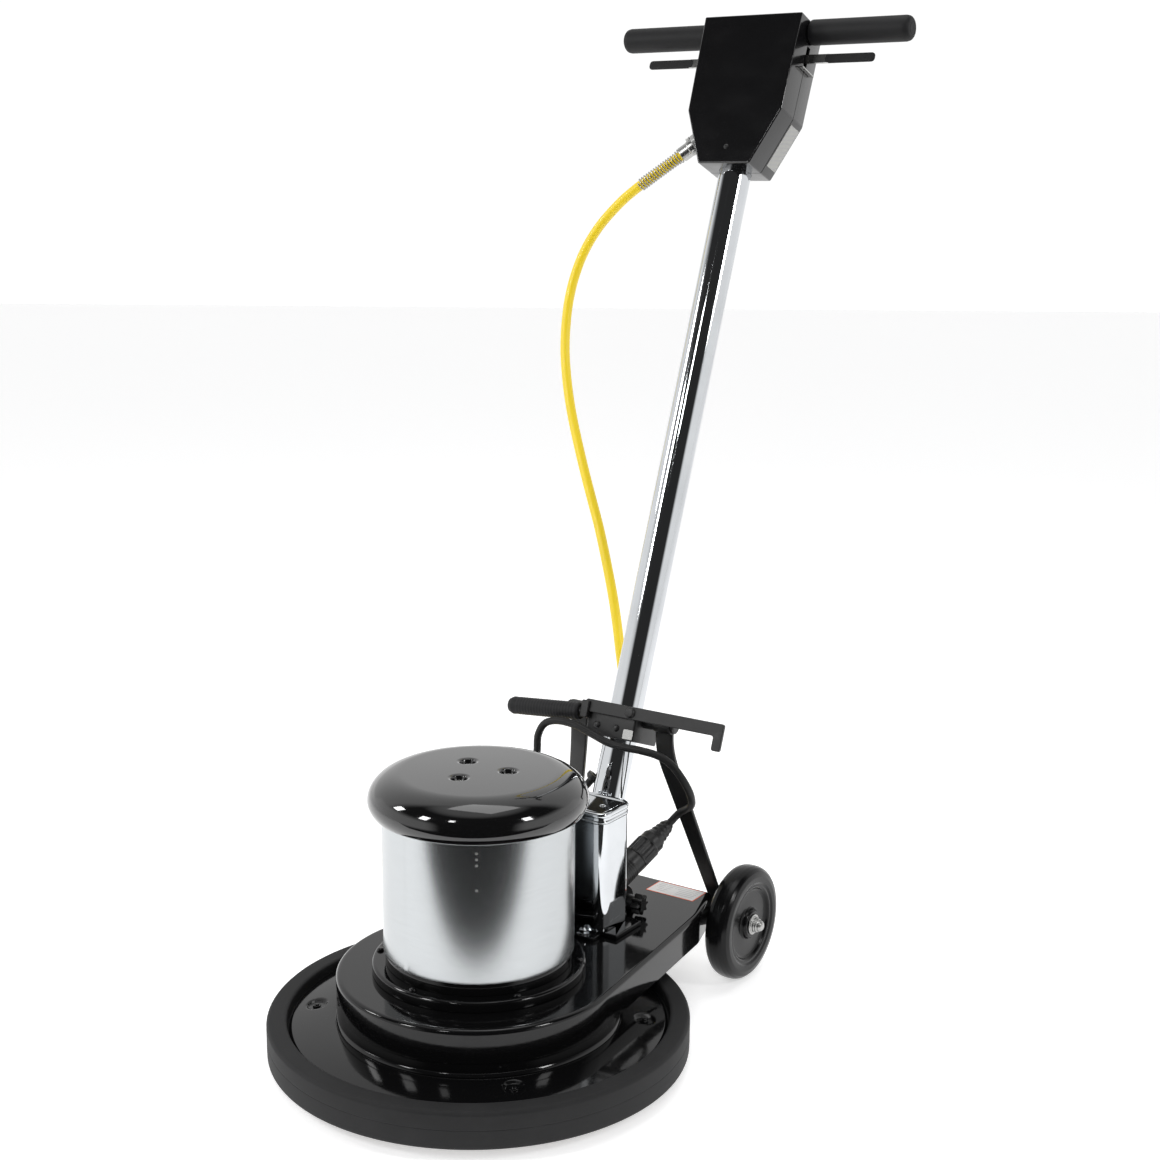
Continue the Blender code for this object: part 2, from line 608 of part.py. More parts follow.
def dome(looks):
    """The cap over the motor: a flat top, a fat round rim and three screws in round wells."""
    top, low = DOME_TOP, DOME_BOTTOM
    inner_top = top - DOME_WALL
    seat = SHROUD_RADIUS + GAP
    rim = [(DOME_FLAT_RADIUS, top)]
    for k in range(1, 6):
        angle = math.radians(90 - 18 * k)
        rim.append((DOME_FLAT_RADIUS + (DOME_RADIUS - DOME_FLAT_RADIUS) * math.cos(angle),
                    top - 0.033 + 0.033 * math.sin(angle)))
    cap = lathe("dome_cap", [
        (0, top), *rim, (DOME_RADIUS - 0.0015, low + 0.005), (DOME_RADIUS - 0.005, low), (seat, low),
        (seat, low + 0.0095), (DOME_RADIUS - 0.007, top - 0.031), (DOME_RADIUS - 0.013, top - 0.019),
        (DOME_FLAT_RADIUS, inner_top), (0, inner_top),
    ], looks["paint"])
    floor = top - DIMPLE_DEPTH
    for number, (x, y) in enumerate(screw_places(), 1):
        join(cap, rod(f"well_{number}", (x, y, floor - DOME_WALL + 0.0005), (x, y, top - 0.0015),
                      DIMPLE_RADIUS + 0.003, None, segments=18))
        cut(cap, rod(f"dimple_{number}", (x, y, floor), (x, y, top + 0.005), DIMPLE_RADIUS, None, segments=18),
            rod(f"dome_hole_{number}", (x, y, floor - 0.01), (x, y, floor + 0.005), SCREW_RADIUS + GAP, None,
                segments=10))
        lathe(f"dome_screw_{number}", [
            (0, floor + GAP - SCREW_LENGTH), (SCREW_RADIUS, floor + GAP - SCREW_LENGTH),
            (SCREW_RADIUS, floor + GAP), (SCREW_HEAD_RADIUS, floor + GAP),
            (SCREW_HEAD_RADIUS, floor + 0.0022), (0, floor + 0.0030),
        ], looks["steel"], segments=12, location=(x, y, 0))


# ---------------------------------------------------------------- terminal box and yoke

def box_floor():
    return HOUSING_TOP + GAP + YOKE_PLATE + GAP


def terminal_box(looks):
    low = box_floor()
    high = low + BOX_HEIGHT
    outline = rounded_rectangle(BOX_HALF_WIDTH, BOX_FRONT, BOX_REAR, BOX_CORNER)
    inside = rounded_rectangle(BOX_HALF_WIDTH - BOX_WALL, BOX_FRONT + BOX_WALL, BOX_REAR - BOX_WALL,
                               BOX_CORNER - BOX_WALL)
    case = prism("terminal_box", outline, low, high, looks["chrome"])
    cut(case, prism("terminal_box_cavity", inside, low + BOX_WALL, high + 0.01, None))
    lid_outline = rounded_rectangle(BOX_HALF_WIDTH + LID_OVERHANG, BOX_FRONT - LID_OVERHANG,
                                    BOX_REAR + LID_OVERHANG, BOX_CORNER + LID_OVERHANG)
    prism("terminal_box_lid", lid_outline, high + GAP, high + GAP + LID_THICKNESS, looks["chrome"])
    rear = BOX_REAR - BOX_WALL
    box("rectifier", (-0.040, rear - 0.026, low + 0.045), (0.004, rear - GAP, low + 0.089),
        looks["aluminium"])
    socket_and_connector(looks, outline)


def socket_and_connector(looks, outline):
    """The inlet on the box's back, and the lead's connector pushed on it."""
    start = Vector((SOCKET_X, BOX_REAR, SOCKET_Z))
    along = Vector(SOCKET_DIRECTION).normalized()
    socket = rod("inlet_socket", start - 0.02 * along, start + SOCKET_LENGTH * along,
                 CONNECTOR_RADIUS, looks["plastic"])
    clear = rounded_rectangle(BOX_HALF_WIDTH + GAP, BOX_FRONT - GAP, BOX_REAR + GAP, BOX_CORNER + GAP)
    cut(socket, prism("socket_trim", clear, box_floor() - 0.02, box_floor() + BOX_HEIGHT, None))
    low = SOCKET_LENGTH + GAP
    high = low + CONNECTOR_LENGTH
    lathe("lead_connector", [
        (0, low), (CONNECTOR_RADIUS, low), (CONNECTOR_RADIUS, high - 0.030),
        (CONNECTOR_RADIUS - 0.003, high - 0.024), (0.0065, high), (0, high),
    ], looks["plastic"], segments=20, location=start, rotation=along.to_track_quat("Z", "Y").to_euler())


def handle_yoke(looks):
    """A flat base plate that forks round the tube, with an upright ear on each leg."""
    low = HOUSING_TOP + GAP
    notch = BOX_REAR + GAP
    ear_outer = EAR_INNER_X + EAR_THICKNESS
    half = [(YOKE_HALF_WIDTH, YOKE_FRONT), (YOKE_HALF_WIDTH, notch), (ear_outer, notch),
            (ear_outer, YOKE_REAR), (EAR_INNER_X, YOKE_REAR), (EAR_INNER_X, notch)]
    outline = half + [(-x, y) for x, y in reversed(half)]
    yoke = prism("handle_yoke", outline, low, low + YOKE_PLATE, looks["satin_black"])
    ear = [(-low - 0.002, -EAR_RADIUS)]
    for k in range(11):
        angle = math.pi * (1 - k / 10)
        ear.append((-PIVOT_Z - EAR_RADIUS * math.sin(angle), EAR_RADIUS * math.cos(angle)))
    ear.append((-low - 0.002, EAR_RADIUS))
    for side, x in (("left", -ear_outer + 0.0001), ("right", EAR_INNER_X + 0.0001)):
        join(yoke, prism(f"ear_{side}", ear, 0, EAR_THICKNESS - 0.0002, None,
                         location=(x, PIVOT_Y, 0), rotation=(0, math.pi / 2, 0)))
    cut(yoke, rod("pivot_hole", (-0.1, PIVOT_Y, PIVOT_Z), (0.1, PIVOT_Y, PIVOT_Z),
                  PIVOT_BOLT_RADIUS + RUNNING, None, segments=16))
    outer = EAR_INNER_X + EAR_THICKNESS + GAP
    pivot = empty("pivot_axis", (0, PIVOT_Y, PIVOT_Z), (0, math.pi / 2, 0))
    lathe("pivot_bolt", [
        (0, -outer - 0.006), (0.010, -outer - 0.006), (0.011, -outer), (PIVOT_BOLT_RADIUS, -outer),
        (PIVOT_BOLT_RADIUS, outer + KNOB_STANDOFF + KNOB_THICKNESS * 0.6),
        (0, outer + KNOB_STANDOFF + KNOB_THICKNESS * 0.6),
    ], looks["chrome"], pivot, 20)
    star_knob(looks, pivot, outer)


def star_knob(looks, pivot, ear_face):
    """A lobed hand knob on the bolt's thread, with a collar that presses on the ear."""
    inner = PIVOT_BOLT_RADIUS + GAP
    low = ear_face + KNOB_STANDOFF
    outline = []
    for k in range(40):
        angle = math.tau * k / 40
        radius = KNOB_RADIUS - 0.0022 + 0.0022 * math.cos(8 * angle)
        outline.append((radius * math.cos(angle), radius * math.sin(angle)))
    knob = prism("star_knob", outline, low, low + KNOB_THICKNESS, looks["plastic"], pivot)
    join(knob, lathe("knob_collar", disc(0.0095, ear_face, low + 0.003), None, pivot, 18))
    cut(knob, lathe("knob_bore", disc(inner, ear_face - 0.01, low + KNOB_THICKNESS * 0.6 + GAP), None,
                    pivot, 16))


# ---------------------------------------------------------------- wheels and brace

def wheel_profile():
    """Half a solid wheel's section: hub, thin web and round tread."""
    w, r = WHEEL_WIDTH, WHEEL_RADIUS
    bore = AXLE_RADIUS + RUNNING
    web = 0.0065
    return [
        (bore, 0.0), (0.018, 0.0), (0.020, web), (0.046, web), (0.052, 0.0015), (r - 0.008, 0.0),
        (r - 0.001, 0.006), (r, 0.0115), (r, w - 0.0115), (r - 0.001, w - 0.006),
        (r - 0.008, w), (0.052, w - 0.0015), (0.046, w - web), (0.020, w - web), (0.018, w), (bore, w),
    ]


def wheels(looks):
    nut_low = WHEEL_INNER_X + WHEEL_WIDTH + GAP
    nut_high = nut_low + CAP_NUT_LENGTH
    axle_end = nut_high - 0.008
    rod("axle", (-axle_end, AXLE_Y, AXLE_Z), (axle_end, AXLE_Y, AXLE_Z), AXLE_RADIUS, looks["steel"])
    bore = AXLE_RADIUS + GAP
    for side, turn in (("left", -math.pi / 2), ("right", math.pi / 2)):
        centre = empty(f"wheel_axis_{side}", (0, AXLE_Y, AXLE_Z), (0, turn, 0))
        lathe(f"wheel_{side}", [(r, z + WHEEL_INNER_X) for r, z in wheel_profile()],
              looks["rubber"], centre, 28)
        lathe(f"axle_nut_{side}", [
            (bore, nut_low), (0.0130, nut_low), (0.0130, nut_low + 0.0016), (0.0098, nut_low + 0.0022),
            (0.0085, nut_low + 0.009), (0.0045, nut_high), (0, nut_high),
            (0, axle_end + GAP), (bore, axle_end + GAP),
        ], looks["steel"], centre, 20)


def strut(looks, side, sign, axis):
    """A flat strap from an eye on the axle up to an eye at the clamp bracket."""
    boss_in, boss_out = LUG_OUTER_X + GAP, WHEEL_INNER_X - GAP
    foot = Vector((sign * STRUT_FOOT_X, 0, 0))
    top = Vector((sign * BRACE_X, BRACE_Y - AXLE_Y, BRACE_Z - AXLE_Z))
    knee = top + Vector((0, 0, -STRUT_UPRIGHT))
    name = f"brace_strut_{side}"
    bm = bmesh.new()
    rows = []
    directions = ((knee - foot).normalized(), (top - foot).normalized(), Vector((0, 0, 1)))
    widths = (STRUT_FOOT_WIDTH, STRUT_WIDTH, STRUT_WIDTH)
    for place, along, width in zip((foot, knee, top), directions, widths):
        out = (Vector((0, 1, 0)) - along * along.y).normalized() * STRUT_THICKNESS / 2
        across = along.cross(out).normalized() * width / 2
        corners = (out + across, out - across, -out - across, across - out)
        rows.append([bm.verts.new(place + corner) for corner in corners])
    for lower, upper in zip(rows, rows[1:]):
        for k in range(4):
            bm.faces.new((lower[k], lower[(k + 1) % 4], upper[(k + 1) % 4], upper[k]))
    bm.faces.new(rows[0])
    bm.faces.new(rows[-1])
    strap = finish_object(name, bm, looks["satin_black"], axis)
    barrel = Vector((BARREL_LENGTH / 2, 0, 0))
    longer = Vector((0.02, 0, 0))
    join(strap, rod(f"{name}_boss", (sign * boss_in, 0, 0), (sign * boss_out, 0, 0),
                    STRUT_BOSS_RADIUS, None, axis),
         rod(f"{name}_barrel", top - barrel, top + barrel, BARREL_RADIUS, None, axis))
    cut(strap, rod(f"{name}_axle_hole", (sign * boss_in - sign * 0.02, 0, 0),
                   (sign * boss_out + sign * 0.02, 0, 0), AXLE_RADIUS + RUNNING, None, axis),
        rod(f"{name}_pin_hole", top - barrel - longer, top + barrel + longer,
            BRACE_PIN_RADIUS + OPEN_PIVOT_CLEARANCE, None, axis))


# ---------------------------------------------------------------- clamp on the tube

def brace_in_handle():
    """The brace pin's place in the handle's frame: (y, z)."""
    back, up = BRACE_Y - PIVOT_Y, BRACE_Z - PIVOT_Z
    return (back * math.cos(LEAN) - up * math.sin(LEAN), back * math.sin(LEAN) + up * math.cos(LEAN))


def stepped_pin(root, shoulder, head, end, wide, narrow):
    """The profile of a pin that is wide up to its shoulder, narrow up to its head, and wide again."""
    return [(0, root), (wide, root), (wide, shoulder), (narrow, shoulder), (narrow, head),
            (wide, head), (wide, end), (0, end)]


def clamp_bracket(looks, slide):
    """The block that slides on the tube, with the brace pins and the lever's pin."""
    front = -BRACKET_HALF_DEPTH
    block = box("clamp_bracket", (-BRACKET_HALF_WIDTH, front, -BRACKET_BELOW),
                (BRACKET_HALF_WIDTH, BRACKET_HALF_DEPTH, BRACKET_ABOVE), looks["satin_black"], slide,
                bevel=0.003)
    pin_y = brace_in_handle()[0]
    shoulder, head = BRACE_X - BARREL_LENGTH / 2 - 0.0005, BRACE_X + BARREL_LENGTH / 2 + 0.0005
    pin = stepped_pin(BRACKET_HALF_WIDTH - WALL_OVERLAP, shoulder, head, head + 0.004,
                      BARREL_RADIUS - 0.001, BRACE_PIN_RADIUS)
    for side, turn in (("left", -math.pi / 2), ("right", math.pi / 2)):
        join(block, lathe(f"brace_pin_{side}", pin, None, slide, 16, (0, pin_y, 0), (0, turn, 0)))
    lever_head = -front + GAP + LEVER_THICKNESS + GAP
    pin = stepped_pin(-front - WALL_OVERLAP, -front - 0.001, lever_head, lever_head + 0.004, 0.0072, 0.004)
    join(block, lathe("lever_pin", pin, None, slide, 16, (LEVER_PIVOT_X, 0, LEVER_RISE),
                      (math.pi / 2, 0, 0)))
    cut(block, rod("tube_hole", (0, 0, -0.1), (0, 0, 0.1), TUBE_RADIUS + GAP, None, slide, 40))


def release_lever(looks, lever_axis):
    """A flat arm across the tube: a hook at its right end and a round grip on its left."""
    inner = -BRACKET_HALF_DEPTH - GAP
    outer = inner - LEVER_THICKNESS
    left, right = LEVER_LEFT - LEVER_PIVOT_X, LEVER_RIGHT - LEVER_PIVOT_X
    half = LEVER_HEIGHT / 2
    outline = [(left, -half), (right - 0.012, -half), (right - 0.012, -half - HOOK_DROP + 0.004),
               (right - 0.008, -half - HOOK_DROP), (right - 0.004, -half - HOOK_DROP),
               (right, -half - HOOK_DROP + 0.004), (right, half - 0.006), (right - 0.006, half),
               (left, half)]
    arm = prism("release_lever", outline, 0, LEVER_THICKNESS, looks["satin_black"], lever_axis,
                location=(0, inner, 0), rotation=(math.pi / 2, 0, 0))
    middle = (inner + outer) / 2
    start = Vector((left + 0.004, middle, -0.009))
    along = Vector((-math.cos(GRIP_DROOP), 0, -math.sin(GRIP_DROOP)))
    reach = (LEVER_LEFT - GRIP_END) / math.cos(GRIP_DROOP)
    join(arm, rod("lever_stub", start, start + (reach - 0.006) * along, STUB_RADIUS, None, lever_axis, 16),
         box("lever_joint", (left - 0.004, outer - 0.004, -0.017), (left + 0.008, inner - 0.0004, 0.006),
             None, lever_axis))
    cut(arm, rod("lever_hole", (0, -0.1, 0), (0, 0.1, 0), 0.004 + GAP, None, lever_axis, 14))
    bore = STUB_RADIUS + GAP
    lathe("lever_grip", [
        (bore, 0.010), (GRIP_RADIUS - 0.001, 0.010), (GRIP_RADIUS, 0.012), (GRIP_RADIUS, reach - 0.004),
        (GRIP_RADIUS - 0.004, reach + 0.002), (0, reach + 0.003), (0, reach - 0.006 + GAP),
        (bore, reach - 0.006 + GAP),
    ], looks["rubber"], lever_axis, 20, start, along.to_track_quat("Z", "Y").to_euler())


# ---------------------------------------------------------------- handle

def handle_tube(looks, handle):
    """The chromed tube, welded on a cross sleeve that turns on the pivot bolt."""
    top = BAR_HEIGHT - BAR_RADIUS - GAP
    tube = lathe("handle_tube", disc(TUBE_RADIUS, TUBE_FOOT, top), looks["chrome"], handle, 32)
    sleeve_half = EAR_INNER_X - GAP
    join(tube, rod("pivot_sleeve", (-sleeve_half, 0, 0), (sleeve_half, 0, 0), 0.0122, None, handle, 24))
    cut(tube, lathe("tube_bore", disc(TUBE_RADIUS - TUBE_WALL, 0.030, top + 0.01), None, handle, 32),
        rod("sleeve_bore", (-0.1, 0, 0), (0.1, 0, 0), PIVOT_BOLT_RADIUS + RUNNING, None, handle, 16))


def handlebar(looks, handle):
    rod("cross_bar", (-BAR_HALF_LENGTH, 0, BAR_HEIGHT), (BAR_HALF_LENGTH, 0, BAR_HEIGHT), BAR_RADIUS,
        looks["steel"], handle, 24)
    start = CASE_TOP_HALF + 0.001
    bore = BAR_RADIUS + GAP
    for side, turn in (("left", -math.pi / 2), ("right", math.pi / 2)):
        lathe(f"hand_grip_{side}", [
            (bore, start), (HANDGRIP_RADIUS, start), (HANDGRIP_RADIUS, HANDGRIP_END - 0.006),
            (HANDGRIP_RADIUS - 0.005, HANDGRIP_END), (0, HANDGRIP_END), (0, BAR_HALF_LENGTH + GAP),
            (bore, BAR_HALF_LENGTH + GAP),
        ], looks["rubber"], handle, 24, (0, 0, BAR_HEIGHT), (0, turn, 0))


def case_outline(inset):
    """The switch case seen from the front: nearly straight sides, then a taper to the tube."""
    right = [(CASE_TOP_HALF - inset, CASE_TOP - inset), (CASE_SHOULDER_HALF - inset, CASE_SHOULDER),
             (CASE_BOTTOM_HALF - inset, CASE_BOTTOM + inset)]
    return [(-x, z) for x, z in right] + [(x, z) for x, z in reversed(right)]


def case_shell(name, looks, handle, face, parting, cutters):
    """Half of the switch case: a tray whose floor is the outer face."""
    low, high = min(face, parting), max(face, parting)
    upright = (math.pi / 2, 0, 0)
    shell = prism(name, case_outline(0.0), -high, -low, looks["paint"], handle, rotation=upright)
    bevel = shell.modifiers.new("outer_edge", "BEVEL")
    bevel.width = 0.003
    bevel.segments = 1
    bevel.limit_method = "WEIGHT"
    weights = shell.data.attributes.new("bevel_weight_edge", "FLOAT", "EDGE")
    for edge in shell.data.edges:
        ends = [shell.data.vertices[i].co.z for i in edge.vertices]
        weights.data[edge.index].value = 1.0 if all(abs(z + face) < 1e-5 for z in ends) else 0.0
    inner = face + CASE_WALL if face < parting else face - CASE_WALL
    beyond = parting + 0.01 if face < parting else parting - 0.01
    cavity = prism(f"{name}_cavity", case_outline(CASE_WALL), -max(inner, beyond), -min(inner, beyond),
                   None, handle, rotation=upright)
    return cut(shell, cavity, *cutters(name))


def case_cutters(handle):
    """The holes that both halves share: handlebar, tube and trigger slots."""
    def make(name):
        bar = rod(f"{name}_bar_hole", (-0.1, 0, BAR_HEIGHT), (0.1, 0, BAR_HEIGHT), BAR_RADIUS + GAP,
                  None, handle, 24)
        tube = rod(f"{name}_tube_hole", (0, 0, CASE_BOTTOM - 0.02), (0, 0, CASE_BOTTOM + 0.02),
                   TUBE_RADIUS + GAP, None, handle, 32)
        slots = [box(f"{name}_slot_{k}", (x, -0.0045, TRIGGER_HEIGHT - 0.012),
                     (x + 0.02, 0.0045, TRIGGER_HEIGHT + 0.016), None, handle)
                 for k, x in enumerate((-0.080, 0.060))]
        return [bar, tube, *slots]
    return make


def switch_case(looks, handle):
    cutters = case_cutters(handle)
    case_shell("switch_case_front", looks, handle, -CASE_FRONT, -GAP / 2, cutters)
    rear = case_shell("switch_case_rear", looks, handle, CASE_REAR, GAP / 2, cutters)
    cut(rear, rod("button_hole", (BUTTON_X, 0.01, BUTTON_HEIGHT), (BUTTON_X, 0.05, BUTTON_HEIGHT),
                  BUTTON_RADIUS + GAP, None, handle, 16))
    for side, x in (("left", -TRIGGER_PIVOT_X), ("right", TRIGGER_PIVOT_X)):
        join(rear, rod(f"trigger_pin_{side}", (x, -0.006, TRIGGER_HEIGHT),
                       (x, CASE_REAR - CASE_WALL + 0.001, TRIGGER_HEIGHT), TRIGGER_PIN_RADIUS, None,
                       handle, 12))
    inner = CASE_REAR - CASE_WALL - GAP
    box("power_switch", (0.026, 0.004, SWITCH_BOTTOM), (0.054, inner, SWITCH_BOTTOM + SWITCH_HEIGHT),
        looks["plastic"], handle)
    button = empty("button_axis", (BUTTON_X, 0, BUTTON_HEIGHT), (-math.pi / 2, 0, 0), handle)
    lathe("lock_button", [
        (0, inner - 0.0035), (BUTTON_RADIUS + 0.002, inner - 0.0035), (BUTTON_RADIUS + 0.002, inner),
        (BUTTON_RADIUS, inner), (BUTTON_RADIUS, CASE_REAR + BUTTON_TRAVEL + 0.001),
        (0, CASE_REAR + BUTTON_TRAVEL + 0.001),
    ], looks["red_plastic"], button, 16)


def trigger(looks, handle, side, sign):
    """A flat squeeze lever that swings up to the grip on a pin inside the case."""
    axis = empty(f"trigger_axis_{side}", (sign * TRIGGER_PIVOT_X, 0, TRIGGER_HEIGHT), parent=handle)
    half = TRIGGER_WIDTH / 2
    end = TRIGGER_END - TRIGGER_PIVOT_X
    outline = [(-0.008, -half + 0.002), (-0.006, -half), (end - 0.004, -half), (end, -half + 0.004),
               (end, half - 0.004), (end - 0.004, half), (-0.006, half), (-0.008, half - 0.002)]
    if sign < 0:
        outline = [(-x, z) for x, z in reversed(outline)]
    blade = prism(f"trigger_{side}", outline, -TRIGGER_THICKNESS / 2, TRIGGER_THICKNESS / 2,
                  looks["satin_black"], axis, rotation=(math.pi / 2, 0, 0))
    cut(blade, rod(f"trigger_hole_{side}", (0, -0.02, 0), (0, 0.02, 0), TRIGGER_PIN_RADIUS + RUNNING,
                   None, axis, 12))


# ---------------------------------------------------------------- cords

def gland_frame(handle_matrix):
    """Where the cord leaves the switch case, in world coordinates, and its direction."""
    start = handle_matrix @ Vector(GLAND_POINT)
    along = (handle_matrix.to_3x3() @ Vector(GLAND_DIRECTION)).normalized()
    return start, along


def cord_gland(looks, handle):
    """The metal connector on the case's tapered side, and the spring round the cord."""
    start = Vector(GLAND_POINT)
    along = Vector(GLAND_DIRECTION).normalized()
    turn = along.to_track_quat("Z", "Y").to_euler()
    gland = lathe("cord_gland", [
        (0, -0.012), (0.0125, -0.012), (0.0125, 0.009), (0.0100, 0.010), (0.0100, GLAND_LENGTH),
        (0, GLAND_LENGTH),
    ], looks["steel"], handle, 18, start, turn)
    clear = case_outline(-GAP)
    cut(gland, prism("gland_trim", clear, -0.06, 0.06, None, handle, rotation=(math.pi / 2, 0, 0)))
    bore = CORD_RADIUS + 2 * GAP
    low = GLAND_LENGTH + GAP
    lathe("cord_spring", [
        (bore, low), (0.0118, low), (0.0112, low + SPRING_LENGTH * 0.6),
        (0.0092, low + SPRING_LENGTH), (bore, low + SPRING_LENGTH),
    ], looks["steel"], handle, 16, start, turn)


def power_cord(looks, handle_matrix):
    start, along = gland_frame(handle_matrix)
    inside = [start + (GLAND_LENGTH + GAP + distance) * along for distance in (0.0, 0.025, 0.050, 0.074)]
    points = inside[:3] + smooth_route([inside[3], *CORD_ROUTE], 2.9 * CORD_RADIUS)
    middle = Vector((COIL_X, COIL_Y, points[-1].z))
    reach = COIL_MID_RADIUS + COIL_ACROSS * CORD_RADIUS + GAP
    points.append(middle + reach * (points[-1] - middle).normalized())
    cable("power_cord", points, CORD_RADIUS, looks["yellow"])


def coil_and_plug(looks):
    """The stored length as one ring, and the plug that lies on it."""
    half = COIL_ACROSS * CORD_RADIUS
    height = COIL_LAYERS * 2 * CORD_RADIUS
    inner, outer = COIL_MID_RADIUS - half, COIL_MID_RADIUS + half
    lathe("cord_coil", [
        (inner, 0.004), (inner + 0.006, 0.0), (outer - 0.006, 0.0), (outer, 0.004),
        (outer, height - 0.006), (outer - 0.006, height), (inner + 0.006, height),
        (inner, height - 0.006),
    ], looks["yellow"], segments=28, location=(COIL_X, COIL_Y, 0))
    place = Vector((COIL_X + COIL_MID_RADIUS * math.cos(PLUG_ANGLE),
                    COIL_Y + COIL_MID_RADIUS * math.sin(PLUG_ANGLE), height + GAP + PLUG_RADIUS))
    plug_axis = empty("plug_axis", place, (0, 0, PLUG_ANGLE + math.pi / 2))
    half = PLUG_LENGTH / 2
    plug = lathe("cord_plug", [
        (0, -half), (0.0095, -half), (PLUG_RADIUS, -half + 0.014), (PLUG_RADIUS, half), (0, half),
    ], looks["plastic"], plug_axis, 20, rotation=(0, math.pi / 2, 0))
    reach = half + 0.017
    for name, y in (("left", -0.0063), ("right", 0.0063)):
        join(plug, box(f"blade_{name}", (half - 0.004, y - 0.0008, 0.0), (reach, y + 0.0008, 0.0064),
                       None, plug_axis))
    join(plug, rod("ground_pin", (half - 0.004, 0, -0.0075), (reach + 0.002, 0, -0.0075), 0.0024, None,
                   plug_axis, 10))


def motor_lead(looks):
    """The lead from the handle tube to the motor's connector."""
    start = Vector((SOCKET_X, BOX_REAR, SOCKET_Z))
    along = Vector(SOCKET_DIRECTION).normalized()
    reach = SOCKET_LENGTH + GAP + CONNECTOR_LENGTH + GAP
    points = smooth_route([*LEAD_ROUTE, start + (reach + 0.007) * along], 2.6 * LEAD_RADIUS)
    points.append(start + reach * along)
    cable("motor_lead", points, LEAD_RADIUS, looks["plastic"])


# ---------------------------------------------------------------- assembly

def main():
    for obj in list(bpy.data.objects):
        bpy.data.objects.remove(obj)
    looks = make_looks()
    spinning_parts(looks, empty("motor_axis"))
    head_covers(looks)
    chassis_housing(looks)
    motor(looks)
    terminal_box(looks)
    handle_yoke(looks)
    wheels(looks)
    brace_axis = empty("brace_axis", (0, AXLE_Y, AXLE_Z))
    strut(looks, "left", -1, brace_axis)
    strut(looks, "right", 1, brace_axis)
    handle = empty("handle_axis", (0, PIVOT_Y, PIVOT_Z), (-LEAN, 0, 0))
    handle_matrix = Matrix.Translation((0, PIVOT_Y, PIVOT_Z)) @ Matrix.Rotation(-LEAN, 4, "X")
    handle_tube(looks, handle)
    handlebar(looks, handle)
    switch_case(looks, handle)
    trigger(looks, handle, "left", -1)
    trigger(looks, handle, "right", 1)
    slide = empty("clamp_axis", (0, 0, brace_in_handle()[1]), parent=handle)
    clamp_bracket(looks, slide)
    release_lever(looks, empty("lever_axis", (LEVER_PIVOT_X, 0, LEVER_RISE), parent=slide))
    cord_gland(looks, handle)
    power_cord(looks, handle_matrix)
    coil_and_plug(looks)
    motor_lead(looks)


main()
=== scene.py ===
"""High speed floor burnisher: the visual model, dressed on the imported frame.

Metres, +Z up, at rest. Each sub-assembly is a class that holds its sizes, builds its surfaces as
arrays and gives each one its finish and its body. Handle pieces are drawn in the handle's own frame,
where z runs up the tube from its pivot and y points backwards.
"""
import logging
import math
from collections.abc import Callable
from dataclasses import dataclass, field
from enum import Enum

import bmesh
import bpy
import numpy as np
from mathutils import Matrix, Vector


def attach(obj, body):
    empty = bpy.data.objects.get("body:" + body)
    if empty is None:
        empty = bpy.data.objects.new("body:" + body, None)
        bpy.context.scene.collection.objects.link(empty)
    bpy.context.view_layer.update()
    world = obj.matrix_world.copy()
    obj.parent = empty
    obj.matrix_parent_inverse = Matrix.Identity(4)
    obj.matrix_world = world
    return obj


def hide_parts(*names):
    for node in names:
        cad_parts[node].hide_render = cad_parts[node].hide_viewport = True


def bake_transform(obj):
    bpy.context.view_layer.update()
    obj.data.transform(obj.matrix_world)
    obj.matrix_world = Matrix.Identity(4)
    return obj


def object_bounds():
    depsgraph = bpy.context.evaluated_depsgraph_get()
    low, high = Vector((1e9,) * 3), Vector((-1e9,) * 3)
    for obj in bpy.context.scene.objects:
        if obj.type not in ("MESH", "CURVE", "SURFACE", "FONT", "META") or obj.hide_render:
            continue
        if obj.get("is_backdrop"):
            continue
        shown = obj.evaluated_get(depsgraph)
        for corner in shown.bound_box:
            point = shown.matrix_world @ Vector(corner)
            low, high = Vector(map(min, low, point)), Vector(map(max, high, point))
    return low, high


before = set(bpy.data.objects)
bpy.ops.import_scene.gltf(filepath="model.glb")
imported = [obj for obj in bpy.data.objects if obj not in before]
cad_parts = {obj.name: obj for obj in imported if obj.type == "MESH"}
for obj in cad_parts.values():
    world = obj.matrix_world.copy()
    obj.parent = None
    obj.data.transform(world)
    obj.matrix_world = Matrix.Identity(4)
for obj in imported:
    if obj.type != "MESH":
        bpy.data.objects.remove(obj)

log = logging.getLogger("burnisher")
Points = np.ndarray
Triple = tuple[float, float, float]
Profile = list[tuple[float, float]]
TAU = math.tau


class Body(str, Enum):
    """The moving bodies that pieces ride on."""

    CHASSIS = "chassis"
    ROTOR = "rotor"
    WHEEL_LEFT = "wheel_left"
    WHEEL_RIGHT = "wheel_right"
    BRACE = "brace"
    KNOB = "knob"
    HANDLE = "handle"
    CLAMP = "clamp"
    LEVER = "lever"
    TRIGGER_LEFT = "trigger_left"
    TRIGGER_RIGHT = "trigger_right"
    BUTTON = "lock_button"


# ---------------------------------------------------------------- places


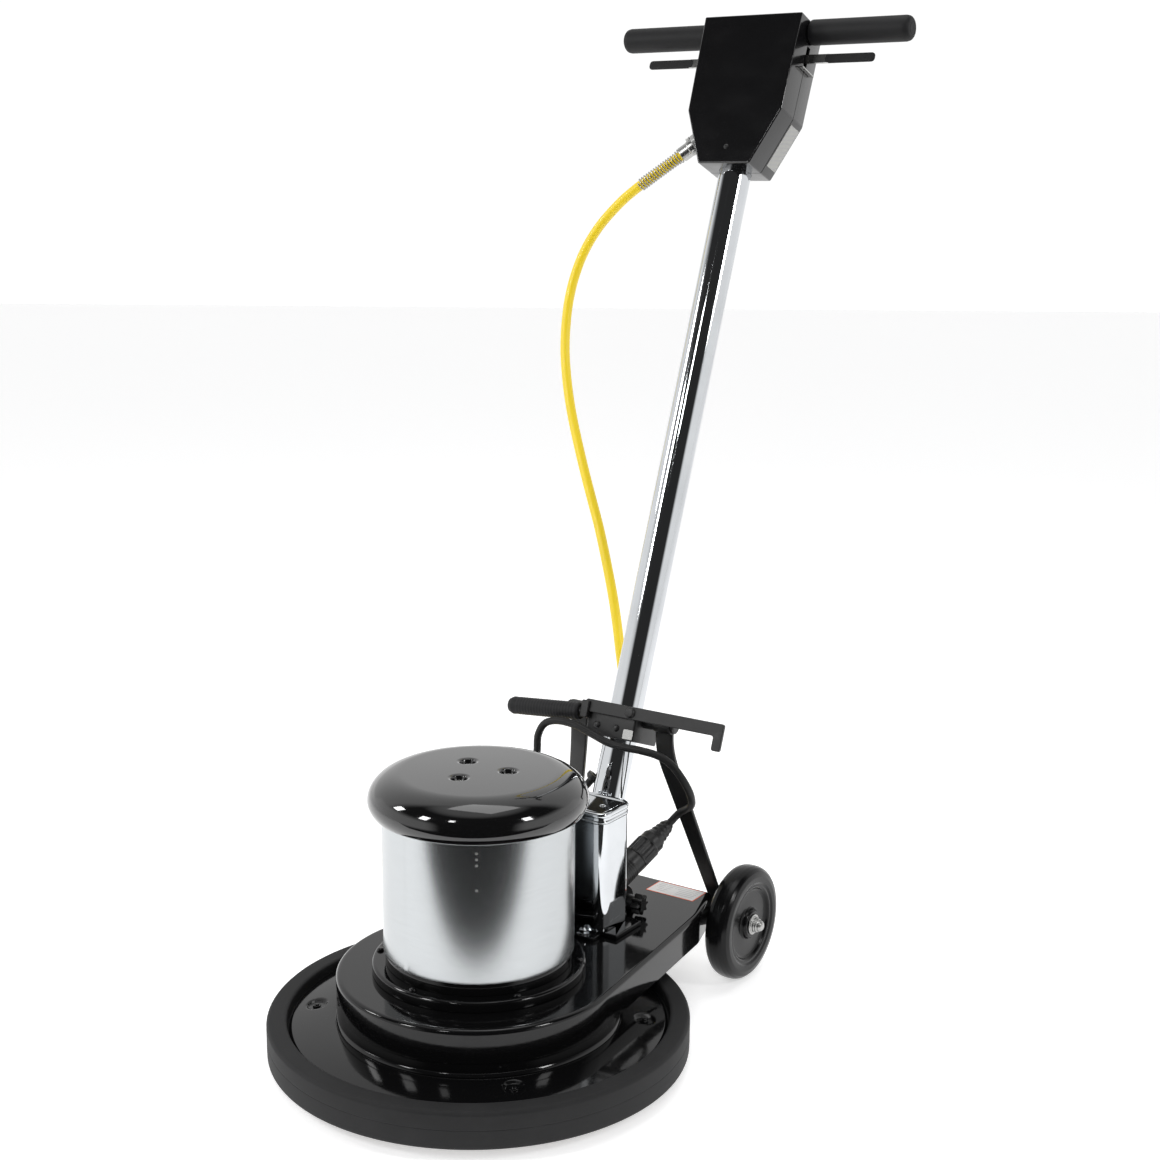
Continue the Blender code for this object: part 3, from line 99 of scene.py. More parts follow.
@dataclass(frozen=True)
class Place:
    """A local frame, as the matrix that carries its points to the model's frame."""

    matrix: Matrix

    @classmethod
    def at(cls, x: float = 0.0, y: float = 0.0, z: float = 0.0) -> "Place":
        """A frame that is moved and not turned."""
        return cls(Matrix.Translation((x, y, z)))

    @classmethod
    def along(cls, start: Triple, direction: Triple) -> "Place":
        """A frame at start whose z axis points along a direction."""
        turn = Vector(direction).to_track_quat("Z", "Y").to_matrix().to_4x4()
        return cls(Matrix.Translation(start) @ turn)

    def then(self, inner: "Place") -> "Place":
        """The inner place, given in this one's frame."""
        return Place(self.matrix @ inner.matrix)

    def of(self, points: Points) -> Points:
        """Carries an array of points from this frame to the model's."""
        m = np.array(self.matrix)
        return points @ m[:3, :3].T + m[:3, 3]

    def point(self, x: float, y: float, z: float) -> Vector:
        """Carries one point from this frame to the model's."""
        return self.matrix @ Vector((x, y, z))


HERE = Place.at()
LEAN = math.atan(0.3716)
PIVOT = (0.0, 0.230, 0.126)
HANDLE = Place(Matrix.Translation(PIVOT) @ Matrix.Rotation(-LEAN, 4, "X"))
CLAMP_HEIGHT = 0.223283
CLAMP = HANDLE.then(Place.at(0, 0, CLAMP_HEIGHT))
UPRIGHT = Place(Matrix(((1, 0, 0, 0), (0, 0, 1, 0), (0, 1, 0, 0), (0, 0, 0, 1))))


# ---------------------------------------------------------------- surfaces


def eased(points: Points, radius: float, closed: bool, steps: int = 4) -> Points:
    """Rounds a line's corners with parabolic arcs.

    Each corner C becomes (1-t)^2 A + 2t(1-t) C + t^2 B for t from 0 to 1, where A and B lie on its
    two sides, radius away but no more than 0.45 of the side.

    Args:
        points: the line's corners, one per row.
        radius: how far from the corner each arc begins.
        closed: whether the line joins its own start.
        steps: chords in each arc.

    Returns:
        The rounded line's points.
    """
    p = np.asarray(points, float)
    back, on = np.roll(p, 1, 0) - p, np.roll(p, -1, 0) - p
    length_back = np.maximum(np.linalg.norm(back, axis=1, keepdims=True), 1e-9)
    length_on = np.maximum(np.linalg.norm(on, axis=1, keepdims=True), 1e-9)
    a = p + back / length_back * np.minimum(radius, 0.45 * length_back)
    b = p + on / length_on * np.minimum(radius, 0.45 * length_on)
    t = np.linspace(0, 1, steps + 1)[None, :, None]
    arcs = (1 - t) ** 2 * a[:, None] + 2 * t * (1 - t) * p[:, None] + t**2 * b[:, None]
    if closed:
        return arcs.reshape(-1, p.shape[1])
    return np.vstack([p[:1], arcs[1:-1].reshape(-1, p.shape[1]), p[-1:]])


def inset(outline: Points, distance: float) -> Points:
    """Moves an anticlockwise outline inwards: each corner goes along (n1 + n2) / (1 + n1.n2)."""
    sides = np.roll(outline, -1, 0) - outline
    sides /= np.maximum(np.linalg.norm(sides, axis=1, keepdims=True), 1e-12)
    after = np.stack([-sides[:, 1], sides[:, 0]], 1)
    before = np.roll(after, 1, 0)
    scale = 1 + np.sum(after * before, axis=1, keepdims=True)
    return outline + distance * (after + before) / np.maximum(scale, 0.3)


@dataclass
class Shell:
    """Grids of points that become one mesh."""

    points: list[Points] = field(default_factory=list)
    faces: list[list[int]] = field(default_factory=list)
    count: int = 0

    def grid(self, points: Points, wrap_rows: bool = False, wrap_columns: bool = True,
             capped: bool = False) -> "Shell":
        """Adds a surface sampled on rows and columns.

        Args:
            points: an array of rows x columns x 3.
            wrap_rows: whether the last row joins the first.
            wrap_columns: whether the last column joins the first.
            capped: whether the first and last rows are closed by flat faces.

        Returns:
            This shell, so that calls can follow each other.
        """
        rows, columns = points.shape[:2]
        index = np.arange(rows * columns).reshape(rows, columns) + self.count
        low = index if wrap_rows else index[:-1]
        high = np.roll(index, -1, 0) if wrap_rows else index[1:]
        quads = np.stack([low, np.roll(low, -1, 1), np.roll(high, -1, 1), high], -1)
        quads = quads if wrap_columns else quads[:, :-1]
        self.faces += quads.reshape(-1, 4).tolist()
        if capped:
            self.faces += [index[0, ::-1].tolist(), index[-1].tolist()]
        self.points.append(points.reshape(-1, 3))
        self.count += rows * columns
        return self

    def add(self, other: "Shell", place: Place = HERE) -> "Shell":
        """Adds another shell's surfaces, carried to a place in this one's frame."""
        self.faces += [[i + self.count for i in face] for face in other.faces]
        self.points.append(place.of(np.vstack(other.points)))
        self.count += other.count
        return self

    def bent(self, change: Callable[[Points], Points]) -> "Shell":
        """Applies a function of all points at once, such as a dent."""
        self.points = [change(np.vstack(self.points))]
        return self

    def mesh(self, name: str, place: Place, sharp: float) -> bpy.types.Object:
        """Makes the object: doubles merged, faces outwards, smooth but for sharp corners."""
        mesh = bpy.data.meshes.new(name)
        mesh.from_pydata(place.of(np.vstack(self.points)), [], self.faces)
        work = bmesh.new()
        work.from_mesh(mesh)
        bmesh.ops.remove_doubles(work, verts=work.verts, dist=1e-6)
        bmesh.ops.recalc_face_normals(work, faces=work.faces)
        work.to_mesh(mesh)
        work.free()
        mesh.shade_smooth()
        mesh.set_sharp_from_angle(angle=math.radians(sharp))
        made = bpy.data.objects.new(name, mesh)
        bpy.context.scene.collection.objects.link(made)
        return made


def turned(profile: Profile, segments: int = 96, ease: float = 0.0006, steps: int = 4) -> Shell:
    """A surface of revolution: (r cos a, r sin a, z) along a rounded (r, z) profile.

    Args:
        profile: corners of a loop, or of a line from axis to axis.
        segments: columns round the axis.
        ease: how far from each corner its rounding begins.
        steps: chords in each rounding.

    Returns:
        The turned shell.
    """
    line = np.asarray(profile, float)
    loop = bool(line[0, 0] > 0 or line[-1, 0] > 0)
    line = eased(line, ease, loop, steps) if ease else line
    angle = np.linspace(0, TAU, segments, endpoint=False)[None, :]
    r, z = line[:, :1], line[:, 1:]
    return Shell().grid(np.stack([r * np.cos(angle), r * np.sin(angle), z + 0 * angle], -1), loop)


def slab(outline: Points, low: float, high: float, edge: float = 0.0008, steps: int = 4) -> Shell:
    """An outline raised from low to high with round edges.

    Row k is the outline inset by e (1 - sin a) at height e (1 - cos a) from each face, for a from
    0 to 90 degrees, with one more row just inside the flat face to keep its shading flat.
    """
    a = np.linspace(0, math.pi / 2, steps + 1)
    inwards = np.concatenate([[edge * 1.3], edge * (1 - np.sin(a))])
    heights = np.concatenate([[0.0], edge * (1 - np.cos(a))])
    lower = [np.c_[inset(outline, d), np.full(len(outline), low + h)] for d, h in zip(inwards, heights)]
    upper = [np.c_[inset(outline, d), np.full(len(outline), high - h)] for d, h in zip(inwards, heights)]
    return Shell().grid(np.stack(lower + upper[::-1]), capped=True)


def stacked(ring: Callable[[float], Points], rows: Profile) -> Shell:
    """A closed shell whose rows are a ring at (distance inwards or outwards, height) pairs."""
    return Shell().grid(np.stack([np.c_[ring(d), np.full(len(ring(d)), z)] for d, z in rows]), capped=True)


def tray(ring: Callable[[float], Points], face: float, rim: float, wall: float, edge: float) -> Shell:
    """A shallow box open at its rim, where ring gives its outline at any distance inwards."""
    sign = 1.0 if rim > face else -1.0
    a = np.linspace(0, math.pi / 2, 5)
    rows = [(edge * 1.3, face)] + [(edge * (1 - math.sin(v)),
                                    face + sign * edge * (1 - math.cos(v))) for v in a]
    rows += [(0.0, rim - sign * 0.0004), (0.0004, rim), (wall, rim), (wall, face + sign * wall),
             (wall * 1.3, face + sign * wall)]
    return stacked(ring, rows)


def swept(path: Points, radius: float, sides: int) -> Shell:
    """A round tube: each station's circle is c + r (n cos a + b sin a), with n carried along."""
    tangent = np.gradient(path, axis=0)
    tangent /= np.linalg.norm(tangent, axis=1, keepdims=True)
    normal = np.zeros_like(path)
    carried = np.cross(tangent[0], (0.0, 0.0, 1.0) if abs(tangent[0, 2]) < 0.9 else (1.0, 0.0, 0.0))
    for station, along in enumerate(tangent):
        carried = carried - along * (carried @ along)
        carried /= np.linalg.norm(carried)
        normal[station] = carried
    binormal = np.cross(tangent, normal)
    angle = np.linspace(0, TAU, sides, endpoint=False)[None, :, None]
    ring = path[:, None] + radius * (normal[:, None] * np.cos(angle) + binormal[:, None] * np.sin(angle))
    return Shell().grid(ring, capped=True)


def smooth_line(route: list[Triple], spacing: float) -> Points:
    """Even points on the Catmull-Rom curve through a route.

    Between b and c it is half of 2b + (c-a)t + (2a-5b+4c-d)t^2 + (3b-a-3c+d)t^3.
    """
    k = np.asarray(route, float)
    k = np.vstack([2 * k[0] - k[1], k, 2 * k[-1] - k[-2]])
    a, b, c, d = (k[i : len(k) - 3 + i, None, :] for i in range(4))
    t = np.linspace(0, 1, 16, endpoint=False)[None, :, None]
    dense = 0.5 * (2 * b + (c - a) * t + (2 * a - 5 * b + 4 * c - d) * t**2 + (3 * b - a - 3 * c + d) * t**3)
    dense = np.vstack([dense.reshape(-1, 3), k[-2]])
    return evenly(dense, spacing)


def evenly(line: Points, spacing: float) -> Points:
    """The same line, sampled at even distances along it."""
    gone = np.concatenate([[0], np.cumsum(np.linalg.norm(np.diff(line, axis=0), axis=1))])
    wanted = np.linspace(0, gone[-1], max(2, round(gone[-1] / spacing)) + 1)
    return np.stack([np.interp(wanted, gone, line[:, i]) for i in range(3)], 1)


def rectangle(left: float, front: float, right: float, rear: float, corner: float,
              steps: int = 6) -> Points:
    """An anticlockwise rectangle with round corners."""
    corners = np.array([(left, front), (right, front), (right, rear), (left, rear)])
    return eased(corners, corner, True, steps)


def hexagon(radius: float) -> Points:
    """A hexagon with its corners just eased."""
    a = np.arange(6) * TAU / 6
    return eased(np.stack([radius * np.cos(a), radius * np.sin(a)], 1), radius * 0.08, True, 2)


def show(shell: Shell, name: str, finish: "Finish", body: Body, place: Place = HERE,
         stands_for: tuple[str, ...] = (), sharp: float = 32.0) -> bpy.types.Object:
    """Makes a shell into a piece that rides on a body.

    Args:
        shell: its surfaces, in the place's frame.
        name: the piece's name.
        finish: what it is made of.
        body: what it moves with.
        place: the frame that it is drawn in.
        stands_for: the solids that it replaces.
        sharp: the angle in degrees past which an edge stays sharp.

    Returns:
        The piece.
    """
    made = shell.mesh(name, place, sharp)
    made.data.materials.append(finish.material())
    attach(made, body.value)
    if stands_for:
        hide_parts(*stands_for)
    log.info("%s: %d faces on %s", name, len(made.data.polygons), body.value)
    return made


def carved(made: bpy.types.Object, cutters: list[Shell], place: Place) -> None:
    """Cuts closed shells out of a piece, and keeps the result as its mesh."""
    for number, cutter in enumerate(cutters):
        tool = cutter.mesh(f"{made.name}_tool_{number}", place, 30)
        modifier = made.modifiers.new(tool.name, "BOOLEAN")
        modifier.object = tool
        modifier.operation = "DIFFERENCE"
        modifier.solver = "EXACT"
        bpy.context.view_layer.update()
        evaluated = made.evaluated_get(bpy.context.evaluated_depsgraph_get())
        mesh = bpy.data.meshes.new_from_object(evaluated)
        made.modifiers.clear()
        made.data = mesh
        bpy.data.objects.remove(tool)
    made.data.shade_smooth()
    made.data.set_sharp_from_angle(angle=math.radians(32))


# ---------------------------------------------------------------- shader trees


@dataclass(frozen=True)
class Num:
    """A number socket with arithmetic, each operation a Math node."""

    tree: "Graph"
    socket: bpy.types.NodeSocket

    def _with(self, operation: str, first: object, second: object) -> "Num":
        """One Math node of two values."""
        return self.tree.number("ShaderNodeMath", {"operation": operation}, {0: first, 1: second})

    def __add__(self, other: object) -> "Num":
        """self + other."""
        return self._with("ADD", self, other)

    def __radd__(self, other: object) -> "Num":
        """other + self."""
        return self._with("ADD", other, self)

    def __sub__(self, other: object) -> "Num":
        """self - other."""
        return self._with("SUBTRACT", self, other)

    def __rsub__(self, other: object) -> "Num":
        """other - self."""
        return self._with("SUBTRACT", other, self)

    def __mul__(self, other: object) -> "Num":
        """self * other."""
        return self._with("MULTIPLY", self, other)

    def __rmul__(self, other: object) -> "Num":
        """other * self."""
        return self._with("MULTIPLY", other, self)

    def above(self, edge: float) -> "Num":
        """1 where this is over an edge, else 0."""
        return self._with("GREATER_THAN", self, edge)

    def size(self) -> "Num":
        """Its absolute value."""
        return self._with("ABSOLUTE", self, 0.0)

    def wave(self) -> "Num":
        """Its sine."""
        return self._with("SINE", self, 0.0)

    def most(self, other: object) -> "Num":
        """The larger of the two."""
        return self._with("MAXIMUM", self, other)

    def spread(self, low: float, high: float, to_low: float = 0.0, to_high: float = 1.0) -> "Num":
        """Maps low..high to to_low..to_high, smoothly and held at the ends."""
        return self.tree.number("ShaderNodeMapRange", {"interpolation_type": "SMOOTHSTEP"},
                                {0: self, 1: low, 2: high, 3: to_low, 4: to_high})


class Graph:
    """Builds the nodes of one tree, read from one set of coordinates."""

    def __init__(self, node_tree: bpy.types.NodeTree, shader: str, coords: str) -> None:
        """Takes a tree that holds only its shader."""
        self.nodes, self.links = node_tree.nodes, node_tree.links
        self.shader = self.nodes[shader]
        self.coords = self.node("ShaderNodeTexCoord", {}, {}).outputs[coords]

    def node(self, kind: str, settings: dict, inputs: dict) -> bpy.types.Node:
        """Makes any node: its settings first, then its sockets' values or links."""
        made = self.nodes.new(kind)
        for key, value in settings.items():
            setattr(made, key, value)
        for key, value in inputs.items():
            source = value.socket if isinstance(value, Num) else value
            if isinstance(source, bpy.types.NodeSocket):
                self.links.new(source, made.inputs[key])
            else:
                made.inputs[key].default_value = source
        return made

    def number(self, kind: str, settings: dict, inputs: dict, output: int | str = 0) -> Num:
        """Makes a node and wraps one of its outputs."""
        return Num(self, self.node(kind, settings, inputs).outputs[output])

    def axis(self, index: int) -> Num:
        """The coordinates' x, y or z."""
        return self.number("ShaderNodeSeparateXYZ", {}, {0: self.coords}, index)

    def towards(self, direction: Triple) -> Num:
        """How far the coordinates reach along a direction."""
        return self.number("ShaderNodeVectorMath", {"operation": "DOT_PRODUCT"},
                           {0: self.coords, 1: direction}, "Value")

    def set(self, socket: str, value: object) -> None:
        """Sets a constant or links a value to one of the shader's sockets."""
        source = value.socket if isinstance(value, Num) else value
        if isinstance(source, bpy.types.NodeSocket):
            self.links.new(source, self.shader.inputs[socket])
        else:
            self.shader.inputs[socket].default_value = source


class Tree(Graph):
    """The nodes of one Principled material."""

    def __init__(self, name: str) -> None:
        """Starts a material with only its shader."""
        self.material = bpy.data.materials.new(name)
        self.material.use_nodes = True
        super().__init__(self.material.node_tree, "Principled BSDF", "Object")

    def stretched(self, scale: Triple, turn: Triple = (0, 0, 0)) -> bpy.types.NodeSocket:
        """Object coordinates, turned and then scaled."""
        return self.node("ShaderNodeMapping", {}, {"Vector": self.coords, "Scale": scale,
                                                   "Rotation": turn}).outputs[0]

    def round_coords(self, around: float, up: float) -> bpy.types.NodeSocket:
        """Coordinates that run round the z axis and up it, for grain on a drum."""
        x, y, z = (self.axis(i) for i in range(3))
        angle = self.number("ShaderNodeMath", {"operation": "ARCTAN2"}, {0: y, 1: x})
        return self.node("ShaderNodeCombineXYZ", {}, {0: angle * around, 1: 0.0, 2: z * up}).outputs[0]

    def noise(self, scale: float, detail: float = 3.0, roughness: float = 0.55,
              coords: bpy.types.NodeSocket | None = None) -> Num:
        """Fractal noise from 0 to 1."""
        return self.number("ShaderNodeTexNoise", {}, {"Vector": coords or self.coords, "Scale": scale,
                                                      "Detail": detail, "Roughness": roughness})

    def cells(self, scale: float) -> Num:
        """Distance to the nearest of many scattered points."""
        return self.number("ShaderNodeTexVoronoi", {}, {"Vector": self.coords, "Scale": scale})

    def mix(self, factor: Num, first: Triple | bpy.types.NodeSocket,
            second: Triple | bpy.types.NodeSocket) -> bpy.types.NodeSocket:
        """A colour between two."""
        def four(colour: object) -> object:
            return (*colour, 1.0) if isinstance(colour, tuple) else colour
        made = self.node("ShaderNodeMix", {"data_type": "RGBA"},
                         {0: factor, 6: four(first), 7: four(second)})
        return made.outputs[2]

    def base(self, colour: Triple | bpy.types.NodeSocket) -> None:
        """Sets or links the base colour."""
        self.set("Base Color", (*colour, 1.0) if isinstance(colour, tuple) else colour)

    def bump(self, height: Num, strength: float, distance: float) -> None:
        """Roughens the surface's normal by a height."""
        made = self.node("ShaderNodeBump", {}, {"Height": height, "Strength": strength,
                                                "Distance": distance})
        self.links.new(made.outputs[0], self.shader.inputs["Normal"])


# ---------------------------------------------------------------- finishes

_made: dict[str, bpy.types.Material] = {}


@dataclass(frozen=True)
class Finish:
    """A finish: its name and plain colour. Each kind paints its own tree."""

    name: str
    colour: Triple = (0.5, 0.5, 0.5)
    roughness: float = 0.4

    def paint(self, tree: Tree) -> None:
        """Fills the tree with this finish's nodes."""
        tree.base(self.colour)

    def material(self) -> bpy.types.Material:
        """The material, made once."""
        if self.name not in _made:
            tree = Tree(self.name)
            self.paint(tree)
            _made[self.name] = tree.material
        return _made[self.name]


@dataclass(frozen=True)
class GlossPaint(Finish):
    """Baked enamel: deep colour, a faint orange peel, dust specks and hazy wipes, under a thin coat."""

    peel: float = 0.05
    coat: float = 0.6
    level: float = 0.55

    def paint(self, tree: Tree) -> None:
        """Enamel with wipe marks in its roughness."""
        wipes = tree.noise(3.0, 4.0, 0.6, tree.stretched((6, 22, 9), (0.3, 0.2, 0.7)))
        specks = tree.cells(420.0).spread(0.05, 0.10, 1.0, 0.0)
        rare = tree.noise(55.0, 1.0).spread(0.60, 0.70)
        dust = specks * rare
        tree.base(tree.mix(dust * 0.35, self.colour, (0.16, 0.15, 0.14)))
        tree.set("Roughness", wipes.spread(0.35, 0.75, self.roughness, self.roughness + 0.05) + dust * 0.3)
        tree.set("Specular IOR Level", self.level)
        tree.set("Coat Weight", self.coat)
        tree.set("Coat Roughness", 0.03)
        tree.bump(tree.noise(260.0, 2.0), self.peel, 0.0004)


@dataclass(frozen=True)
class SatinPaint(Finish):
    """Powder coat: pebbled, with worn brighter scuffs."""

    def paint(self, tree: Tree) -> None:
        """A fine pebble and soft scuffs."""
        scuff = tree.noise(38.0, 5.0, 0.7).spread(0.58, 0.75)
        tree.base(tree.mix(scuff * 0.25, self.colour, (0.09, 0.09, 0.09)))
        tree.set("Roughness", self.roughness + tree.noise(90.0, 3.0) * 0.12)
        tree.bump(tree.cells(900.0), 0.12, 0.0003)


@dataclass(frozen=True)
class Plated(Finish):
    """Chrome or zinc plate: clear metal, with faint haze and hairline scratches."""

    haze: float = 0.05
    scratch: float = 0.03

    def paint(self, tree: Tree) -> None:
        """Haze in the roughness, and long scratches in the normal."""
        cloud = tree.noise(14.0, 4.0, 0.6)
        lines = tree.noise(30.0, 4.0, 0.7, tree.stretched((9, 60, 4), (0.2, 0.5, 0.9)))
        tree.base(tree.mix(cloud.spread(0.3, 0.8), self.colour, tuple(0.9 * c for c in self.colour)))
        tree.set("Metallic", 1.0)
        tree.set("Roughness", cloud.spread(0.35, 0.8, self.roughness, self.roughness + self.haze))
        tree.bump(lines, self.scratch, 0.0003)


@dataclass(frozen=True)
class Brushed(Finish):
    """Stainless sheet brushed round the drum, with fine hairs and long soft bands."""

    def paint(self, tree: Tree) -> None:
        """Grain runs round the z axis."""
        grain = tree.noise(1.0, 4.0, 0.75, tree.round_coords(9.0, 5200.0))
        bands = tree.noise(1.0, 3.0, 0.6, tree.round_coords(3.0, 420.0))
        smear = tree.noise(9.0, 3.0, 0.5)
        tree.base(tree.mix(bands, self.colour, tuple(0.86 * c for c in self.colour)))
        tree.set("Metallic", 1.0)
        tree.set("Roughness", self.roughness + grain * 0.10 + smear * 0.04)
        tree.set("Anisotropic", 0.55)
        tree.bump(grain, 0.10, 0.0002)


@dataclass(frozen=True)
class Rubber(Finish):
    """Moulded rubber: a dull, slightly mottled skin with a fine grain and pale bloom."""

    grain: float = 1400.0
    bloom: float = 0.5
    depth: float = 0.22
    level: float = 0.32

    def paint(self, tree: Tree) -> None:
        """Bloom lightens patches, and long faint marks run along the sides."""
        patches = tree.noise(22.0, 5.0, 0.65)
        marks = tree.noise(1.0, 3.0, 0.6, tree.round_coords(4.0, 240.0))
        pale = tuple(min(1.0, c * 1.7 + 0.005) for c in self.colour)
        tree.base(tree.mix(patches.spread(0.35, 0.85) * self.bloom + marks * 0.15, self.colour, pale))
        tree.set("Roughness", self.roughness + patches * 0.14)
        tree.set("Specular IOR Level", self.level)
        tree.bump(tree.noise(self.grain, 2.0) + patches * 0.4, self.depth, 0.0003)


@dataclass(frozen=True)
class Plastic(Finish):
    """Moulded plastic with a faint texture."""

    def paint(self, tree: Tree) -> None:
        """Texture in the normal and a little in the gloss."""
        cloud = tree.noise(60.0, 3.0)
        tree.base(tree.mix(cloud, self.colour, tuple(min(1.0, 1.25 * c + 0.003) for c in self.colour)))
        tree.set("Roughness", self.roughness + cloud * 0.12)
        tree.bump(tree.noise(1100.0, 2.0), 0.10, 0.0002)


@dataclass(frozen=True)
class CordJacket(Finish):
    """A soft vinyl jacket: even colour, shallow ripples from the twisted cores, faint dirt."""

    def paint(self, tree: Tree) -> None:
        """Ripples and a little grime."""
        grime = tree.noise(34.0, 5.0, 0.7).spread(0.60, 0.82)
        tone = tree.noise(9.0, 2.0)
        deep = tuple(0.86 * c for c in self.colour)
        tree.base(tree.mix(grime * 0.18, tree.mix(tone, self.colour, deep), (0.30, 0.22, 0.08)))
        tree.set("Roughness", self.roughness + grime * 0.2)
        tree.set("Coat Weight", 0.15)
        tree.bump(tree.noise(150.0, 2.0), 0.15, 0.0006)


@dataclass(frozen=True)
class PadFibre(Finish):
    """Open non-woven fibre with a coarse mesh of threads."""

    def paint(self, tree: Tree) -> None:
        """Threads as thin ridges of a noise, with painted shade darkening the hollows between them."""
        threads = (tree.noise(330.0, 5.0, 0.7) - 0.5).size().spread(0.0, 0.10, 1.0, 0.0)
        tone = tree.noise(30.0, 3.0)
        # painted shade: the hollows between the threads are darkened to 0.45 of the fibre colour
        dark = tuple(0.45 * c for c in self.colour)
        tree.base(tree.mix(threads, dark, tree.mix(tone, self.colour, tuple(0.8 * c for c in self.colour))))
        tree.set("Roughness", self.roughness)
        tree.bump(threads, 0.9, 0.0015)


@dataclass(frozen=True)
class Machined(Finish):
    """Machined or laminated metal, with rings or layers at a pitch along z."""

    pitch: float = 0.0007
    depth: float = 0.3

    def paint(self, tree: Tree) -> None:
        """Tool rings as a sine of the height, over a mottled metal."""
        rings = (tree.axis(2) * (TAU / self.pitch)).wave() * 0.5 + 0.5
        tone = tree.noise(60.0, 4.0)
        tree.base(tree.mix(tone * 0.5 + rings * 0.3, self.colour, tuple(0.7 * c for c in self.colour)))
        tree.set("Metallic", 1.0)
        tree.set("Roughness", self.roughness + tone * 0.15)
        tree.bump(rings + tone * 0.3, self.depth, 0.0002)


@dataclass(frozen=True)
class CastMetal(Finish):
    """Sand or die cast metal with a coarse skin."""

    def paint(self, tree: Tree) -> None:
        """A pitted skin and dark pores."""
        skin = tree.noise(420.0, 4.0, 0.7)
        pores = tree.cells(260.0).spread(0.08, 0.18, 1.0, 0.0)
        tree.base(tree.mix(pores * 0.6, self.colour, tuple(0.5 * c for c in self.colour)))
        tree.set("Metallic", 1.0)
        tree.set("Roughness", self.roughness + skin * 0.2)
        tree.bump(skin, 0.4, 0.0005)


@dataclass(frozen=True)
class PrintedLabel(Finish):
    """A plain sticker: a pale field, a coloured edge and faint grey bars in place of print."""

    centre: tuple[float, float] = (0.0, 0.0)
    half: tuple[float, float] = (0.03, 0.02)
    rim: Triple = (0.80, 0.13, 0.05)
    axes: tuple[int, int] = (0, 1)

    def paint(self, tree: Tree) -> None:
        """Edge and bars are thresholds of the two coordinates."""
        u = (tree.axis(self.axes[0]) - self.centre[0]).size()
        v = tree.axis(self.axes[1]) - self.centre[1]
        edge = u.above(self.half[0] - 0.0014).most(v.size().above(self.half[1] - 0.0014))
        bars = (v * (TAU / 0.0052)).wave().above(0.35) * (1 - u.above(self.half[0] - 0.006))
        broken = tree.noise(160.0, 2.0, 0.5, tree.stretched((1.0, 0.15, 1.0))).above(0.44)
        inside = 1 - v.size().above(self.half[1] - 0.004)
        field_colour = tree.mix(bars * broken * inside * 0.55, self.colour, (0.42, 0.42, 0.43))
        tree.base(tree.mix(edge, field_colour, self.rim))
        tree.set("Roughness", self.roughness + tree.noise(40.0) * 0.1)
        tree.bump(tree.noise(500.0), 0.05, 0.0001)


@dataclass(frozen=True)
class PaleFloor(Finish):
    """A plain pale floor."""

    def paint(self, tree: Tree) -> None:
        """An even white with a trace of tone, lifted a little so that it stays bright far off."""
        tree.base(tree.mix(tree.noise(0.8, 2.0), self.colour, tuple(0.985 * c for c in self.colour)))
        tree.set("Roughness", self.roughness)
        tree.set("Specular IOR Level", 0.1)
        tree.set("Emission Color", (1.0, 1.0, 1.0, 1.0))
        tree.set("Emission Strength", 0.50)


GLOSS = GlossPaint("gloss_black_paint", (0.0035, 0.0035, 0.0037), 0.06)
DECK = GlossPaint("deck_black_paint", (0.0035, 0.0035, 0.0037), 0.07, 0.05, 0.05, 0.35)
CASE_GLOSS = GlossPaint("case_black_paint", (0.004, 0.004, 0.0045), 0.16, 0.10)
SATIN = SatinPaint("satin_black_steel", (0.007, 0.007, 0.0072), 0.34)
CHROME = Plated("bright_chrome", (0.66, 0.68, 0.70), 0.035, 0.05, 0.012)
ZINC = Plated("zinc_plate", (0.46, 0.46, 0.45), 0.20, 0.20, 0.10)
STAINLESS = Brushed("brushed_stainless", (0.53, 0.55, 0.56), 0.15)
BUMPER = Rubber("bumper_rubber", (0.011, 0.011, 0.0115), 0.62, 1400.0, 0.5, 0.22)
GRIP = Rubber("grip_rubber", (0.007, 0.007, 0.0077), 0.52, 900.0, 0.5, 0.25)
TYRE = Rubber("wheel_rubber", (0.003, 0.003, 0.0033), 0.15, 1600.0, 0.15, 0.05, 0.22)
BLACK_PLASTIC = Plastic("black_plastic", (0.006, 0.006, 0.0062), 0.34)
RED_PLASTIC = Plastic("red_plastic", (0.50, 0.025, 0.018), 0.35)
LEAD = Rubber("lead_rubber", (0.007, 0.007, 0.007), 0.42, 1100.0, 0.3, 0.15)
YELLOW = CordJacket("yellow_jacket", (1.0, 0.74, 0.025), 0.42)
PAD = PadFibre("pad_fibre", (0.70, 0.55, 0.45), 0.95)
STEEL = Machined("machined_steel", (0.50, 0.50, 0.49), 0.30)
COPPER = Machined("copper_winding", (0.68, 0.32, 0.17), 0.38, 0.0012, 0.6)
LAMINATED = Machined("laminated_steel", (0.33, 0.34, 0.35), 0.42, 0.0010, 0.5)
BRASS = Machined("plain_brass", (0.70, 0.53, 0.25), 0.30)
CASTING = CastMetal("cast_aluminium", (0.48, 0.48, 0.49), 0.42)
CARBON = Plastic("pressed_carbon", (0.02, 0.02, 0.021), 0.5)
FLOOR = PaleFloor("pale_floor", (0.90, 0.90, 0.905), 0.6)


# ---------------------------------------------------------------- cords

